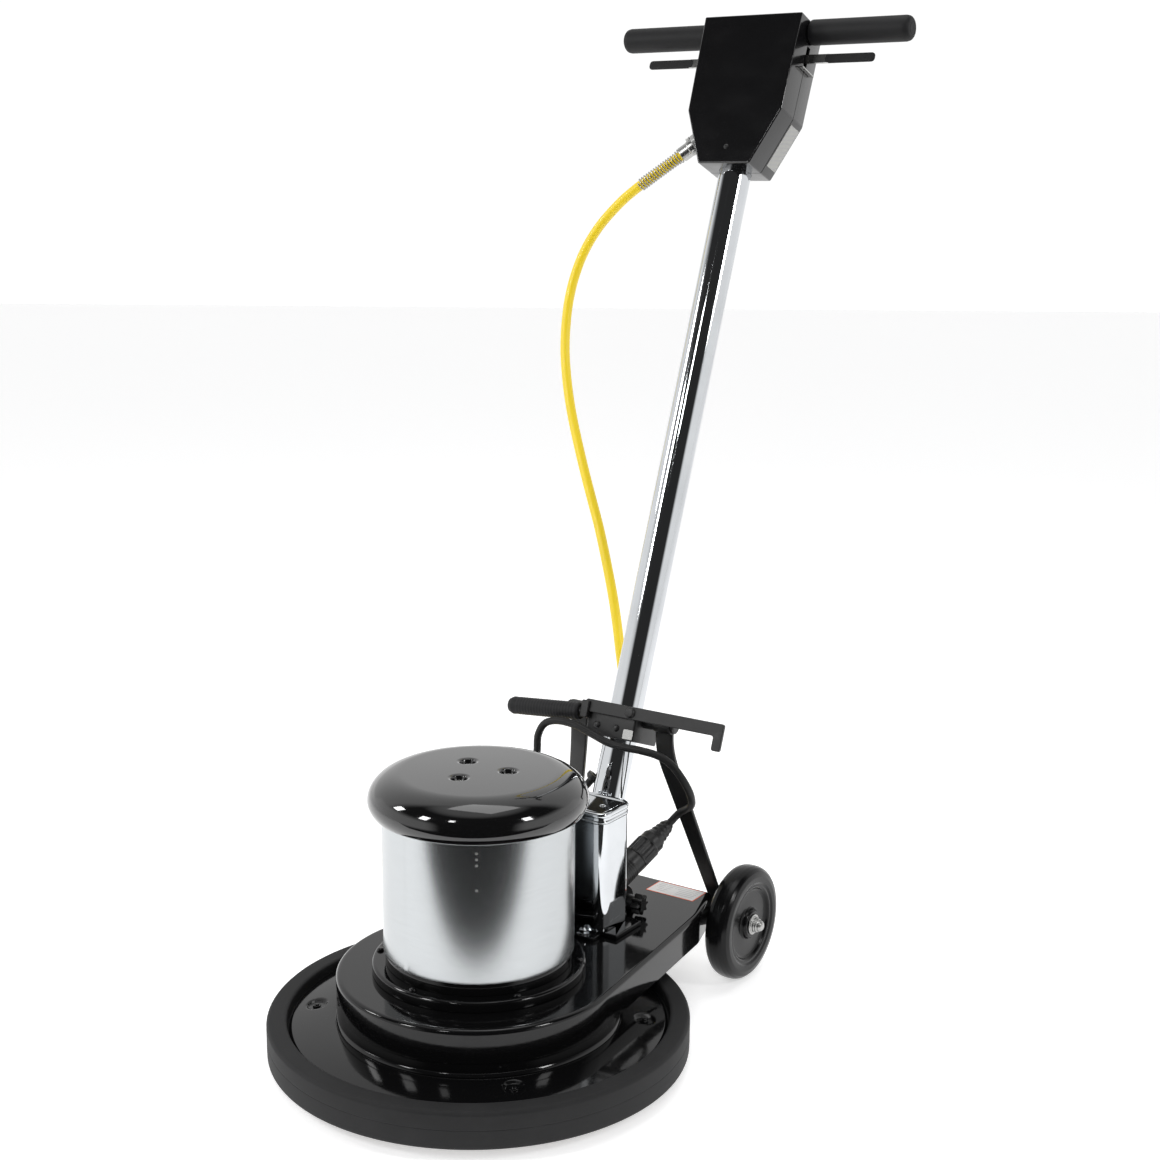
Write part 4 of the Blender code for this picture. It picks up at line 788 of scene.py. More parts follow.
CORD_ROUTE = [
    (-0.160, 0.5345, 0.976), (-0.1905, 0.530, 0.9446), (-0.210, 0.522, 0.911),
    (-0.220, 0.513, 0.877), (-0.2244, 0.505, 0.8435), (-0.2237, 0.497, 0.810),
    (-0.2196, 0.489, 0.7766), (-0.2108, 0.480, 0.7436), (-0.1994, 0.471, 0.711),
    (-0.1856, 0.462, 0.6787), (-0.1702, 0.453, 0.6468), (-0.1548, 0.445, 0.6151),
    (-0.138, 0.436, 0.5838), (-0.1212, 0.427, 0.5528), (-0.1061, 0.418, 0.5219),
    (-0.0919, 0.409, 0.4912), (-0.0785, 0.400, 0.4606), (-0.0672, 0.392, 0.4296),
    (-0.0571, 0.384, 0.3989), (-0.0475, 0.376, 0.3722), (-0.041, 0.368, 0.345),
    (-0.039, 0.360, 0.312), (-0.043, 0.356, 0.280), (-0.050, 0.358, 0.248),
    (-0.062, 0.370, 0.205), (-0.080, 0.395, 0.150), (-0.102, 0.425, 0.098),
    (-0.128, 0.458, 0.052), (-0.153, 0.478, 0.022), (-0.178, 0.4858, 0.0090),
    (-0.200, 0.4895, 0.0072), (-0.220, 0.499, 0.0068), (-0.236, 0.513, 0.0068),
    (-0.248, 0.530, 0.0068),
]
LEAD_ROUTE = [
    (-0.0265, 0.276, 0.2585), (-0.034, 0.270, 0.247), (-0.050, 0.260, 0.226),
    (-0.072, 0.252, 0.217), (-0.091, 0.251, 0.228), (-0.099, 0.253, 0.256),
    (-0.099, 0.255, 0.289), (-0.0975, 0.255, 0.308), (-0.087, 0.255, 0.325),
    (-0.067, 0.255, 0.332), (-0.041, 0.255, 0.331), (-0.016, 0.255, 0.324),
    (0.008, 0.255, 0.317), (0.032, 0.256, 0.3145), (0.0546, 0.258, 0.314),
    (0.078, 0.262, 0.3105), (0.095, 0.266, 0.301), (0.107, 0.270, 0.286),
    (0.1135, 0.278, 0.268), (0.1110, 0.290, 0.2515), (0.1035, 0.3015, 0.2395),
    (0.0935, 0.3090, 0.2315), (0.0850, 0.3110, 0.2255), (0.0795, 0.3098, 0.2205),
]


@dataclass
class PowerCord:
    """The yellow supply cord, from its metal connector down behind the tube to its coil and plug."""

    radius: float = 0.0065
    real_length: float = 15.24
    gland_point: Triple = (-0.0541, -0.014, 0.985)
    gland_direction: Triple = (-0.79, 0.0, -0.61)
    gland_length: float = 0.030
    spring_length: float = 0.070
    coil_centre: tuple[float, float] = (-0.3755, 0.4934)
    coil_middle: float = 0.1045
    across: int = 5
    layers: int = 4
    floor_height: float = 0.0068
    plug_angle: float = math.radians(100.0)
    plug_radius: float = 0.0175
    plug_length: float = 0.045
    gap: float = 0.0003

    def gland_place(self) -> Place:
        """The frame of the connector: z runs out along the cord."""
        return HANDLE.then(Place.along(self.gland_point, Vector(self.gland_direction).normalized()))

    def coil_path(self) -> Points:
        """The coil's turns, anticlockwise from above, then a rise to the back of the plug.

        Turn k lies in layer k // 5 at the radius of its place, and passes to the next turn's radius
        and height by a smooth step over its last fifth. Even layers run inwards and odd ones out.
        """
        pitch = 2 * self.radius
        k = np.arange(self.across * self.layers)
        place = np.where(k // self.across % 2 == 0, k % self.across, self.across - 1 - k % self.across)
        radii = self.coil_middle + pitch * ((self.across - 1) / 2 - place)
        heights = self.floor_height + pitch * (k // self.across)
        begin, last = math.radians(25.0), self.across * self.layers - 1
        half = math.atan2(self.plug_length / 2 + 0.001, self.coil_middle)
        total = last + ((self.plug_angle - half - begin) / TAU) % 1.0
        u = np.linspace(0.0, total, round(total * 40))
        turn = np.minimum(u.astype(int), last - 1)
        f = np.clip((u - turn - 0.8) / 0.2, 0, 1) * (turn < last - 1)
        f = f * f * (3 - 2 * f)
        following = np.minimum(turn + 1, last)
        r = radii[turn] * (1 - f) + radii[following] * f
        z = heights[turn] * (1 - f) + heights[following] * f
        rise = np.clip((u - (total - 0.33)) / 0.33, 0, 1)
        inwards = np.clip((rise - 0.4) / 0.6, 0, 1)
        rise, inwards = (w * w * (3 - 2 * w) for w in (rise, inwards))
        r = r * (1 - inwards) + self.coil_middle / math.cos(half) * inwards
        z = z * (1 - rise) + self.plug_height() * rise
        angle = begin + TAU * u
        return np.stack([self.coil_centre[0] + r * np.cos(angle), self.coil_centre[1] + r * np.sin(angle),
                         z], 1)

    def plug_height(self) -> float:
        """Height of the plug's axis, lying on the coil."""
        return self.layers * 2 * self.radius + self.gap + self.plug_radius

    def plug_place(self) -> Place:
        """The plug's frame: z runs out of its face along the coil's turn, and x points up."""
        c, d = math.cos(self.plug_angle), math.sin(self.plug_angle)
        x, y = self.coil_centre[0] + self.coil_middle * c, self.coil_centre[1] + self.coil_middle * d
        return Place(Matrix(((0, c, -d, x), (0, d, c, y), (1, 0, 0, self.plug_height()), (0, 0, 0, 1))))

    def path(self) -> Points:
        """The whole centreline: straight out of the connector, down the route, round the coil."""
        place = self.gland_place()
        inside = [tuple(place.point(0, 0, self.gland_length + self.gap + d)) for d in (0.0, 0.025, 0.050,
                0.074)]
        free = smooth_line([*inside[3:], *CORD_ROUTE], 0.010)
        start = np.array([inside[0], inside[1], inside[2]])
        coil = self.coil_path()
        end = np.array([tuple(self.plug_place().point(0, 0, -self.plug_length / 2 + 0.002))])
        return np.vstack([start, free, coil, end])

    def build(self) -> None:
        """The cord as one mesh tube; its centreline length is logged."""
        path = self.path()
        plug = self.plug()
        gland = self.gland()
        spring = self.spring()
        cord = swept(path, self.radius, 14).mesh("supply_cord", HERE, 60)
        cord.data.materials.append(YELLOW.material())
        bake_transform(cord)
        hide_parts("power_cord", "cord_coil")
        length = float(np.linalg.norm(np.diff(path, axis=0), axis=1).sum())
        log.info("supply cord: centreline %.2f m", length)

    def plug(self) -> bpy.types.Object:
        """A round moulded plug with a ribbed neck, two blades and a ground pin."""
        half, r = self.plug_length / 2, self.plug_radius
        ribs = [(0.0095 + 0.0012 * (k % 2), -half + 0.0012 * k) for k in range(9)]
        body = turned([(0, -half), *ribs, (r, -half + 0.018), (r, half - 0.001), (r - 0.001, half),
                       (0, half)],
                      48, 0.0006)
        for y in (-0.0063, 0.0063):
            body.add(slab(rectangle(0.0, y - 0.0008, 0.0064, y + 0.0008, 0.0004), half - 0.002,
                          half + 0.017, 0.0003))
        body.add(turned([(0, half - 0.002), (0.0024, half - 0.002), (0.0024, half + 0.018),
                         (0, half + 0.019)], 16),
                 Place.at(-0.0075, 0, 0))
        return show(body, "supply_plug", BLACK_PLASTIC, Body.CHASSIS, self.plug_place(), ("cord_plug",))

    def gland(self) -> bpy.types.Object:
        """The metal connector: hex body, clamp ring with two screws, and a short neck."""
        shell = slab(hexagon(0.0140), -0.004, 0.008, 0.0008)
        shell.add(turned([(0, 0.0075), (0.0108, 0.0075), (0.0108, 0.016), (0.0100, 0.0168),
                          (0.0100, self.gland_length),
                          (0, self.gland_length)], 40))
        for side in (-1, 1):
            shell.add(slab(rectangle(-0.0035, -0.003, 0.0035, 0.003, 0.001), 0.009, 0.015, 0.0005),
                      Place(Matrix.Rotation(side * 1.2, 4, "Z") @ Matrix.Translation((0.0105, 0, 0))))
        return show(shell, "cord_connector", ZINC, Body.HANDLE, self.gland_place(), ("cord_gland",))

    def spring(self) -> bpy.types.Object:
        """The wire spring round the cord: a helix whose radius tapers away from the connector."""
        turns, wire = 17.0, 0.00085
        t = np.linspace(0, turns, int(turns * 22))
        f = t / turns
        z = self.gland_length + 0.0012 + f * (self.spring_length - 0.002)
        r = 0.0078 + 0.0016 * np.clip(1 - f / 0.12, 0, 1)
        helix = np.stack([r * np.cos(TAU * t), r * np.sin(TAU * t), z], 1)
        return show(swept(helix, wire, 7), "cord_spring_wire", ZINC, Body.HANDLE, self.gland_place(),
                    ("cord_spring",), 60)


@dataclass
class MotorLead:
    """The black lead from the tube to the terminal box, with its connector and inlet."""

    radius: float = 0.0048
    start: Triple = (0.049, 0.206, 0.156)
    direction: Triple = (0.2175, 0.845, 0.488)
    socket_length: float = 0.045
    connector_length: float = 0.066
    connector_radius: float = 0.0165
    gap: float = 0.0003

    def place(self) -> Place:
        """The connector's frame, with z out along the lead."""
        return Place.along(self.start, Vector(self.direction).normalized())

    def build(self) -> None:
        """Lead, inlet and connector."""
        place = self.place()
        reach = self.socket_length + self.connector_length + 2 * self.gap
        ends = [tuple(place.point(0, 0, reach + more)) for more in (0.007, 0.0)]
        path = np.vstack([smooth_line([*LEAD_ROUTE, ends[0]], 0.005), [ends[1]]])
        lead = swept(path, self.radius, 14).mesh("motor_cable", HERE, 60)
        lead.data.materials.append(LEAD.material())
        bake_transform(lead)
        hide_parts("motor_lead")
        show(self.inlet(), "inlet_shell", BLACK_PLASTIC, Body.CHASSIS, place, ("inlet_socket",))
        show(self.connector(), "connector_shell", BLACK_PLASTIC, Body.CHASSIS, place, ("lead_connector",))
        show(turned([(0.0049, -0.004), (0.0095, -0.004), (0.0095, 0.001), (0.0070, 0.004), (0.0049, 0.004)],
                    32),
             "tube_grommet", BLACK_PLASTIC, Body.HANDLE,
             Place.along((-0.0265, 0.276, 0.2585), (-0.0075, -0.006, -0.0115)))

    def flutes(self, shell: Shell, count: int, depth: float, low: float, high: float) -> Shell:
        """Presses flutes into a turned shell: r is scaled by 1 - d (1 + cos(n a)) / 2 between two heights."""
        def change(points: Points) -> Points:
            angle = np.arctan2(points[:, 1], points[:, 0])
            z = points[:, 2]
            gate = np.clip((z - low) / 0.002, 0, 1) * np.clip((high - z) / 0.002, 0, 1)
            scale = 1 - gate * depth * (1 + np.cos(count * angle)) / 2
            return np.c_[points[:, 0] * scale, points[:, 1] * scale, z]
        return shell.bent(change)

    def inlet(self) -> Shell:
        """The inlet on the box: a flange and a threaded-looking sleeve."""
        r, end = self.connector_radius, self.socket_length
        rings = [(r - 0.0006 * (k % 2), 0.012 + k * 0.0016) for k in range(14)]
        return turned([(0, -0.004), (r, -0.004), (r, 0.010), *rings, (r, end), (0, end)], 48, 0.0004, 2)

    def connector(self) -> Shell:
        """The lead's connector: a fluted collar, a step, and a tapering boot with rings."""
        r, low = self.connector_radius, self.socket_length + self.gap
        high = low + self.connector_length
        fine = [(r, low + v) for v in np.linspace(0.001, 0.024, 9)]
        boot = [(0.0128 - 0.0040 * k / 7 - 0.0011 * (k % 2), high - 0.026 + 0.0032 * k) for k in range(8)]
        shell = turned([(0, low), (r - 0.0006, low), *fine, (r - 0.0012, low + 0.026),
                        (r - 0.0012, high - 0.031),
                        (0.0135, high - 0.028), *boot, (0.0062, high), (0, high)], 96, 0.0005, 2)
        return self.flutes(shell, 10, 0.10, low + 0.001, low + 0.024)


# ---------------------------------------------------------------- cleaning head


@dataclass
class CleaningHead:
    """The bumper, the apron and the housing with its arm."""

    bumper_radius: float = 0.245
    bumper_bottom: float = 0.016
    bumper_top: float = 0.0595
    apron_radius: float = 0.219
    drum_radius: float = 0.165
    drum_bottom: float = 0.057
    top: float = 0.111
    arm_bottom: float = 0.072
    wall: float = 0.004
    dimples: tuple[tuple[float, float], ...] = ((0.1925, -150.8), (0.1865, -41.5), (0.1925, 29.0),
                                                (0.1925, 151.0))

    def build(self) -> None:
        """All covers of the head."""
        self.bumper()
        self.apron()
        self.housing()
        self.label()

    def bumper(self) -> None:
        """The rubber ring, with a soft outer corner and a faint mould line."""
        r, low, top = self.bumper_radius, self.bumper_bottom, self.bumper_top
        shell = turned([
            (0.2193, low), (r - 0.002, low), (r - 0.0002, low + 0.003), (r, low + 0.012), (r, 0.0385),
            (r - 0.0003, 0.0388),
            (r - 0.0003, 0.0392), (r, 0.0395), (r, top - 0.0035), (r - 0.0030, top - 0.0002),
            (r - 0.010, top),
            (0.2245, top), (0.2220, top - 0.0012), (0.2215, top - 0.004), (0.2215, top - 0.0145),
            (0.2193, top - 0.0155),
        ], 256, 0.0016)
        show(shell, "bumper", BUMPER, Body.CHASSIS, HERE, ("bumper_ring",))

    def apron(self) -> None:
        """The painted deck, pressed with round dimples that hold its bolts."""
        edge = self.apron_radius
        slope = np.linspace(0, 1, 40)
        top = [(0.168 + 0.0485 * t, 0.0567 - 0.0062 * t**1.35) for t in slope]
        under = [(0.2130 - 0.045 * t, 0.0470 + 0.0067 * t) for t in np.linspace(0, 1, 12)]
        shell = turned([(0.145, 0.0567), *top, (edge - 0.0004, 0.0480), (edge, 0.0455), (edge, 0.036),
                        (0.216, 0.036),
                        (0.216, 0.0445), *under, (0.145, 0.0537)], 420, 0.0004, 2)
        centres = np.array([(r * math.cos(math.radians(a)), r * math.sin(math.radians(a))) for r,
                            a in self.dimples])

        def press(points: Points) -> Points:
            """Lowers points near a dimple by depth times a smooth step of the distance."""
            away = np.linalg.norm(points[:, None, :2] - centres[None], axis=2).min(axis=1)
            f = np.clip((0.0135 - away) / 0.0040, 0, 1)
            dent = 0.0032 * f * f * (3 - 2 * f) * (points[:, 2] > 0.0450) * (np.hypot(points[:, 0],
                    points[:, 1]) < 0.2145)
            return np.c_[points[:, :2], points[:, 2] - dent]

        show(shell.bent(press), "apron_deck", DECK, Body.CHASSIS, HERE, ("apron",), 40)
        bolts = Shell()
        for x, y in centres:
            z = 0.0512 if math.hypot(x, y) < 0.19 else 0.0506
            bolts.add(slab(hexagon(0.0052), 0, 0.0034, 0.0005).add(
                turned([(0, 0.0033), (0.0030, 0.0033), (0.0024, 0.0046), (0, 0.0048)], 16)),
                Place.at(x, y, z - 0.0012))
        show(bolts, "apron_bolts", DECK, Body.CHASSIS)

    def outline(self) -> Points:
        """Half circle in front, then sides that narrow to the cut rear corners."""
        tangent = math.atan2(self.drum_radius - 0.1335, 0.275)
        angle = np.linspace(math.pi - tangent, TAU + tangent, 140)
        drum = self.drum_radius * np.stack([np.cos(angle), np.sin(angle)], 1)
        rear = np.array([(0.1335, 0.275), (0.111, 0.348)])
        corners = eased(np.vstack([drum[-1:], rear, (rear * (-1, 1))[::-1], drum[:1]]), 0.007, False, 6)
        return np.vstack([drum[:-1], corners[:-1]])

    def housing(self) -> None:
        """Drum and arm as one open shell, its top edge rounded, with a skirt and the axle's lugs."""
        line = self.outline()
        e, low, top = 0.0055, self.arm_bottom, self.top
        a = np.linspace(0, math.pi / 2, 8)
        rows = [(e * 1.25, top), *[(e * (1 - math.sin(v)), top - e * (1 - math.cos(v))) for v in a],
                (0.0, low + 0.0006), (0.0006, low), (self.wall, low), (self.wall, top - 0.006),
                (self.wall * 1.5, top - 0.006)]
        shell = stacked(lambda d: inset(line, d), rows)
        r, bottom = self.drum_radius - 0.0006, self.drum_bottom
        skirt = turned([(r - 0.004, bottom), (r, bottom), (r, low + 0.006), (r - 0.004, low + 0.006)], 220,
                       0.0005)
        shell.add(skirt)
        turn = Place(Matrix.Rotation(math.pi / 2, 4, "Y"))
        for x in (-0.1065, 0.1005):
            lug = rectangle(-0.088, 0.300, -0.060, 0.374, 0.010)
            shell.add(slab(lug, 0, 0.006, 0.0008), Place.at(x, 0, 0).then(turn))
        show(shell, "housing_shell", DECK, Body.CHASSIS, HERE, ("chassis_housing",), 28)
        seam = turned([(0.1618, self.drum_bottom + 0.0002), (0.1672, self.drum_bottom + 0.0002),
                       (0.1660, self.drum_bottom + 0.0022),
                       (0.1648, self.drum_bottom + 0.0040), (0.1618, self.drum_bottom + 0.0040)], 220,
                       0.0006)
        show(seam, "drum_weld_bead", DECK, Body.CHASSIS)

    def label(self) -> None:
        """A plain sticker on the arm."""
        left, front, right, rear = 0.036, 0.3065, 0.106, 0.3415
        finish = PrintedLabel("arm_label", (0.80, 0.79, 0.78), 0.4,
                              ((left + right) / 2, (front + rear) / 2),
                              ((right - left) / 2, (rear - front) / 2))
        show(slab(rectangle(left, front, right, rear, 0.0015), self.top - 0.0001, self.top + 0.00025,
                  0.0001, 1),
             "arm_sticker", finish, Body.CHASSIS)


# ---------------------------------------------------------------- motor


@dataclass
class Motor:
    """The visible motor: flange, brushed shroud and the domed cap."""

    flange_bottom: float = 0.1113
    flange_radius: float = 0.1235
    flange_top: float = 0.1235
    shroud_radius: float = 0.110
    shroud_bottom: float = 0.1380
    shroud_top: float = 0.3090
    dome_radius: float = 0.126
    flat_radius: float = 0.086
    dome_bottom: float = 0.3035
    dome_top: float = 0.349
    well_circle: float = 0.034
    well_angles: tuple[float, ...] = (-92.0, 28.0, 148.0)
    well_radius: float = 0.0095
    well_depth: float = 0.0075

    def build(self) -> None:
        """All visible motor pieces."""
        self.flange()
        self.shroud()
        self.dome()

    def flange(self) -> None:
        """A stepped ring with round-headed bolts on its ledge, and the black end bell above it."""
        r, low, top = self.flange_radius, self.flange_bottom, self.flange_top
        show(turned([(0.0165, low), (r, low), (r, top - 0.0025), (r - 0.0016, top - 0.0006),
                     (r - 0.0035, top),
                     (0.0165, top)], 200, 0.0009), "flange_ring", DECK, Body.CHASSIS, HERE,
                     ("motor_flange",))
        bolts = Shell()
        for k in range(6):
            a = math.radians(-92 + 60 * k)
            bolts.add(turned([(0, 0), (0.0042, 0), (0.0042, 0.0012), (0.0034, 0.0026), (0.0018, 0.0034),
                              (0, 0.0034)], 24),
                      Place.at(0.1163 * math.cos(a), 0.1163 * math.sin(a), top + 0.0001))
        show(bolts, "flange_bolts", DECK, Body.CHASSIS)
        show(turned([(0.0223, top + 0.0003), (0.108, top + 0.0003), (0.108, 0.1335), (0.1068, 0.1377),
                     (0.0125, 0.1377),
                     (0.0125, 0.1338), (0.0223, 0.1338)], 160, 0.0006),
             "lower_bell_cover", DECK, Body.CHASSIS, HERE, ("lower_end_bell",))

    def shroud(self) -> None:
        """The rolled sheet drum: a folded lap seam, and a row of small rivets."""
        r, low, top = self.shroud_radius, self.shroud_bottom, self.shroud_top
        shell = turned([(r - 0.0015, low), (r, low),
                        *[(r, z) for z in np.linspace(low + 0.004, top - 0.004, 5)],
                        (r, top), (r - 0.0015, top)], 256, 0.0004)
        seam, fade, step = math.radians(-100.5), math.radians(8), 0.0007

        def lap(points: Points) -> Points:
            """Pulls the sheet in by a step that fades past the seam."""
            angle = np.arctan2(points[:, 1], points[:, 0])
            past = (angle - seam) % TAU
            f = np.clip(1 - past / fade, 0, 1) * (past < fade)
            scale = 1 - step * f / self.shroud_radius
            return np.c_[points[:, 0] * scale, points[:, 1] * scale, points[:, 2]]

        show(shell.bent(lap), "shroud_drum", STAINLESS, Body.CHASSIS, HERE, ("motor_shroud",), 24)
        rivets = Shell()
        a = math.radians(-54.0)
        for z in (0.2905, 0.2835, 0.2765, 0.2480):
            head = turned([(0, 0), (0.0016, 0), (0.0014, 0.0004), (0.0008, 0.0007), (0, 0.0008)], 16,
                          0.0002)
            rivets.add(head, Place.along((r * math.cos(a), r * math.sin(a), z),
                                         (math.cos(a), math.sin(a), 0)))
        show(rivets, "shroud_rivets", ZINC, Body.CHASSIS)

    def wells(self) -> Points:
        """Centres of the three screw wells."""
        a = np.radians(self.well_angles)
        return self.well_circle * np.stack([np.cos(a), np.sin(a)], 1)

    def dome(self) -> None:
        """The cap: a barely crowned top, a fat quarter-ellipse rim, a lip, and three wells.

        The rim is (r0 + (R - r0) sin a, top - h (1 - cos a)). Wells lower the top by their depth
        times a smooth step of the distance to their centre.
        """
        flat, radius, top, low = self.flat_radius, self.dome_radius, self.dome_top, self.dome_bottom
        under = 0.3455 - 0.006
        crown = [(x, top - 0.0010 * (x / flat) ** 2) for x in np.linspace(0.0005, flat, 130)]
        a = np.linspace(0.06, math.pi / 2, 34)
        rim = [(flat + (radius - flat) * math.sin(v), top - 0.001 - 0.032 * (1 - math.cos(v))) for v in a]
        inner = [(0.1103, low), (0.1103, low + 0.0095), (0.119, 0.318), (0.113, 0.330),
                 (0.086, under), (0.02, under),
                 (0, under)]
        line = [(0, top), *crown, *rim, (radius - 0.0006, low + 0.0085), (radius - 0.0035, low + 0.002),
                (radius - 0.0055, low), *inner]
        shell = turned(line, 360, 0.0)
        centres = self.wells()

        def sink(points: Points) -> Points:
            """Presses the wells, with a soft lip and a flat floor."""
            away = np.linalg.norm(points[:, None, :2] - centres[None], axis=2).min(axis=1)
            f = np.clip((self.well_radius + 0.0006 - away) / 0.0026, 0, 1)
            wide = np.clip((self.well_radius + 0.0040 - away) / 0.0045, 0, 1)
            drop = (self.well_depth - 0.0016) * f * f * (3 - 2 * f) + 0.0010 * wide * wide * (3 - 2 * wide)
            return np.c_[points[:, :2], points[:, 2] - drop * (points[:, 2] > top - 0.004)]

        show(shell.bent(sink), "dome_shell", GLOSS, Body.CHASSIS, HERE, ("dome_cap",), 50)
        floor = top - self.well_depth
        for number, (x, y) in enumerate(centres, 1):
            head = turned([(0, floor - 0.0137), (0.0023, floor - 0.0137), (0.0023, floor + 0.0003),
                           (0.0048, floor + 0.0003),
                           (0.0048, floor + 0.0020), (0.0036, floor + 0.0030), (0.0020, floor + 0.0030),
                           (0.0020, floor + 0.0018), (0, floor + 0.0018)], 32, 0.0003)
            show(head, f"cap_screw_{number}", ZINC, Body.CHASSIS, Place.at(float(x), float(y), 0),
                 (f"dome_screw_{number}",))


# ---------------------------------------------------------------- terminal box and yoke


@dataclass
class TerminalBox:
    """The chromed box behind the motor, its lid, and the yoke that it stands on."""

    half_width: float = 0.0765
    front: float = 0.143
    rear: float = 0.206
    corner: float = 0.013
    bottom: float = 0.1173
    top: float = 0.2617
    lid_thickness: float = 0.006

    def build(self) -> None:
        """Box, lid, yoke, bolt and knob."""
        self.box()
        self.yoke()
        self.knob()

    def ring(self, grow: float) -> Points:
        """The box's outline, grown outwards."""
        x = self.half_width + grow
        return rectangle(-x, self.front - grow, x, self.rear + grow, 1.25 * (self.corner + grow), 14)

    def box(self) -> None:
        """Straight sides, a soft foot, and a rolled bead under the lid."""
        low, high = self.bottom, self.top
        rows = [(-0.0012, low), (-0.0003, low + 0.0004), (0.0, low + 0.0015)]
        rows += [(0.0, z) for z in np.linspace(low + 0.006, high - 0.012, 6)]
        a = np.linspace(-math.pi / 2, math.pi / 2, 9)
        rows += [(0.0013 * math.cos(v), high - 0.0055 + 0.0022 * math.sin(v)) for v in a]
        rows += [(0.0, high - 0.0020), (0.0, high), (-0.002, high), (-0.002, low + 0.002),
                 (-0.004, low + 0.002)]
        shell = stacked(self.ring, rows)
        show(shell, "box_case", CHROME, Body.CHASSIS, HERE, ("terminal_box",), 30)
        lid_low = high + 0.0003
        e = 0.0028
        rows = [(-0.004, lid_low), (0.0, lid_low), (0.0012, lid_low + 0.0005), (0.0015, lid_low + 0.0015)]
        rows += [(0.0015 - e * (1 - math.cos(v)), lid_low + self.lid_thickness - e + e * math.sin(v))
                 for v in np.linspace(0, math.pi / 2, 7)]
        rows += [(-0.0045, lid_low + self.lid_thickness - 0.0001),
                 (-0.0060, lid_low + self.lid_thickness - 0.0011),
                 (-0.0080, lid_low + self.lid_thickness - 0.0014),
                 (-0.0100, lid_low + self.lid_thickness - 0.0014)]
        shell = stacked(self.ring, rows)
        for x in (-0.055, 0.055):
            shell.add(turned([(0, 0), (0.0040, 0), (0.0036, 0.0010), (0, 0.0014)], 24, 0.0003),
                      Place.at(x, (self.front + self.rear) / 2, lid_low + self.lid_thickness - 0.0016))
        show(shell, "box_lid", CHROME, Body.CHASSIS, HERE, ("terminal_box_lid",), 30)

    def yoke(self) -> None:
        """The forked plate with its ears, rounded along every edge, and the foot's hex bolt."""
        low, high = 0.1113, 0.1170
        half = np.array([(0.092, 0.150), (0.092, 0.2063), (0.0535, 0.2063), (0.0535, 0.262),
                         (0.0465, 0.262), (0.0465, 0.2063)])
        outline = np.vstack([half, (half * (-1, 1))[::-1]])
        shell = slab(eased(outline, 0.0012, True, 3), low, high, 0.0012)
        a = np.linspace(math.pi, 0, 24)
        ear = np.vstack([[(-0.019, low + 0.002)], np.stack([0.019 * np.cos(a), 0.126 + 0.019 * np.sin(a)],
                                                           1),
                         [(0.019, low + 0.002)]])[::-1]
        side = Place(Matrix(((0, 0, 1, 0), (1, 0, 0, PIVOT[1]), (0, 1, 0, 0), (0, 0, 0, 1))))
        for x in (-0.0535, 0.0465):
            shell.add(slab(ear, 0, 0.007, 0.0010), Place.at(x, 0, 0).then(side))
        show(shell, "yoke_plate", DECK, Body.CHASSIS, HERE, ("handle_yoke",), 30)
        foot = slab(rectangle(0.036, 0.1285, 0.072, 0.1490, 0.006), low, high - 0.0012, 0.0008)
        show(foot, "yoke_foot", DECK, Body.CHASSIS)
        bolt = slab(hexagon(0.0056), 0.0008, 0.0048, 0.0005).add(
            turned([(0, 0), (0.0075, 0), (0.0075, 0.0010), (0, 0.0010)], 32, 0.0002)).add(
            turned([(0, 0.0046), (0.0034, 0.0046), (0.0030, 0.0064), (0, 0.0066)], 20, 0.0004))
        show(bolt, "foot_bolt", CHROME, Body.CHASSIS, Place.at(0.052, 0.1385, high - 0.0011))

    def knob(self) -> None:
        """The lobed hand knob on the pivot bolt."""
        place = Place.along(PIVOT, (1, 0, 0))
        a = np.linspace(0, TAU, 128, endpoint=False)
        r = 0.0113 + 0.0022 * np.cos(8 * a)
        lobes = slab(np.stack([r * np.cos(a), r * np.sin(a)], 1), 0.0678, 0.0798, 0.0022, 6)
        lobes.add(turned([(0.0063, 0.0538), (0.0095, 0.0538), (0.0095, 0.0600), (0.0080, 0.0690),
                          (0.0063, 0.0690)], 40))
        show(lobes, "hand_knob", BLACK_PLASTIC, Body.KNOB, place, ("star_knob",), 40)
        bolt = turned([(0, -0.0598), (0.0085, -0.0598), (0.0100, -0.0588), (0.0110, -0.0541),
                       (0.006, -0.0541), (0.006, 0.0742),
                       (0.0052, 0.0750), (0, 0.0750)], 48, 0.0004)
        show(bolt, "pivot_pin", CHROME, Body.CHASSIS, place, ("pivot_bolt",))


# ---------------------------------------------------------------- wheels and brace


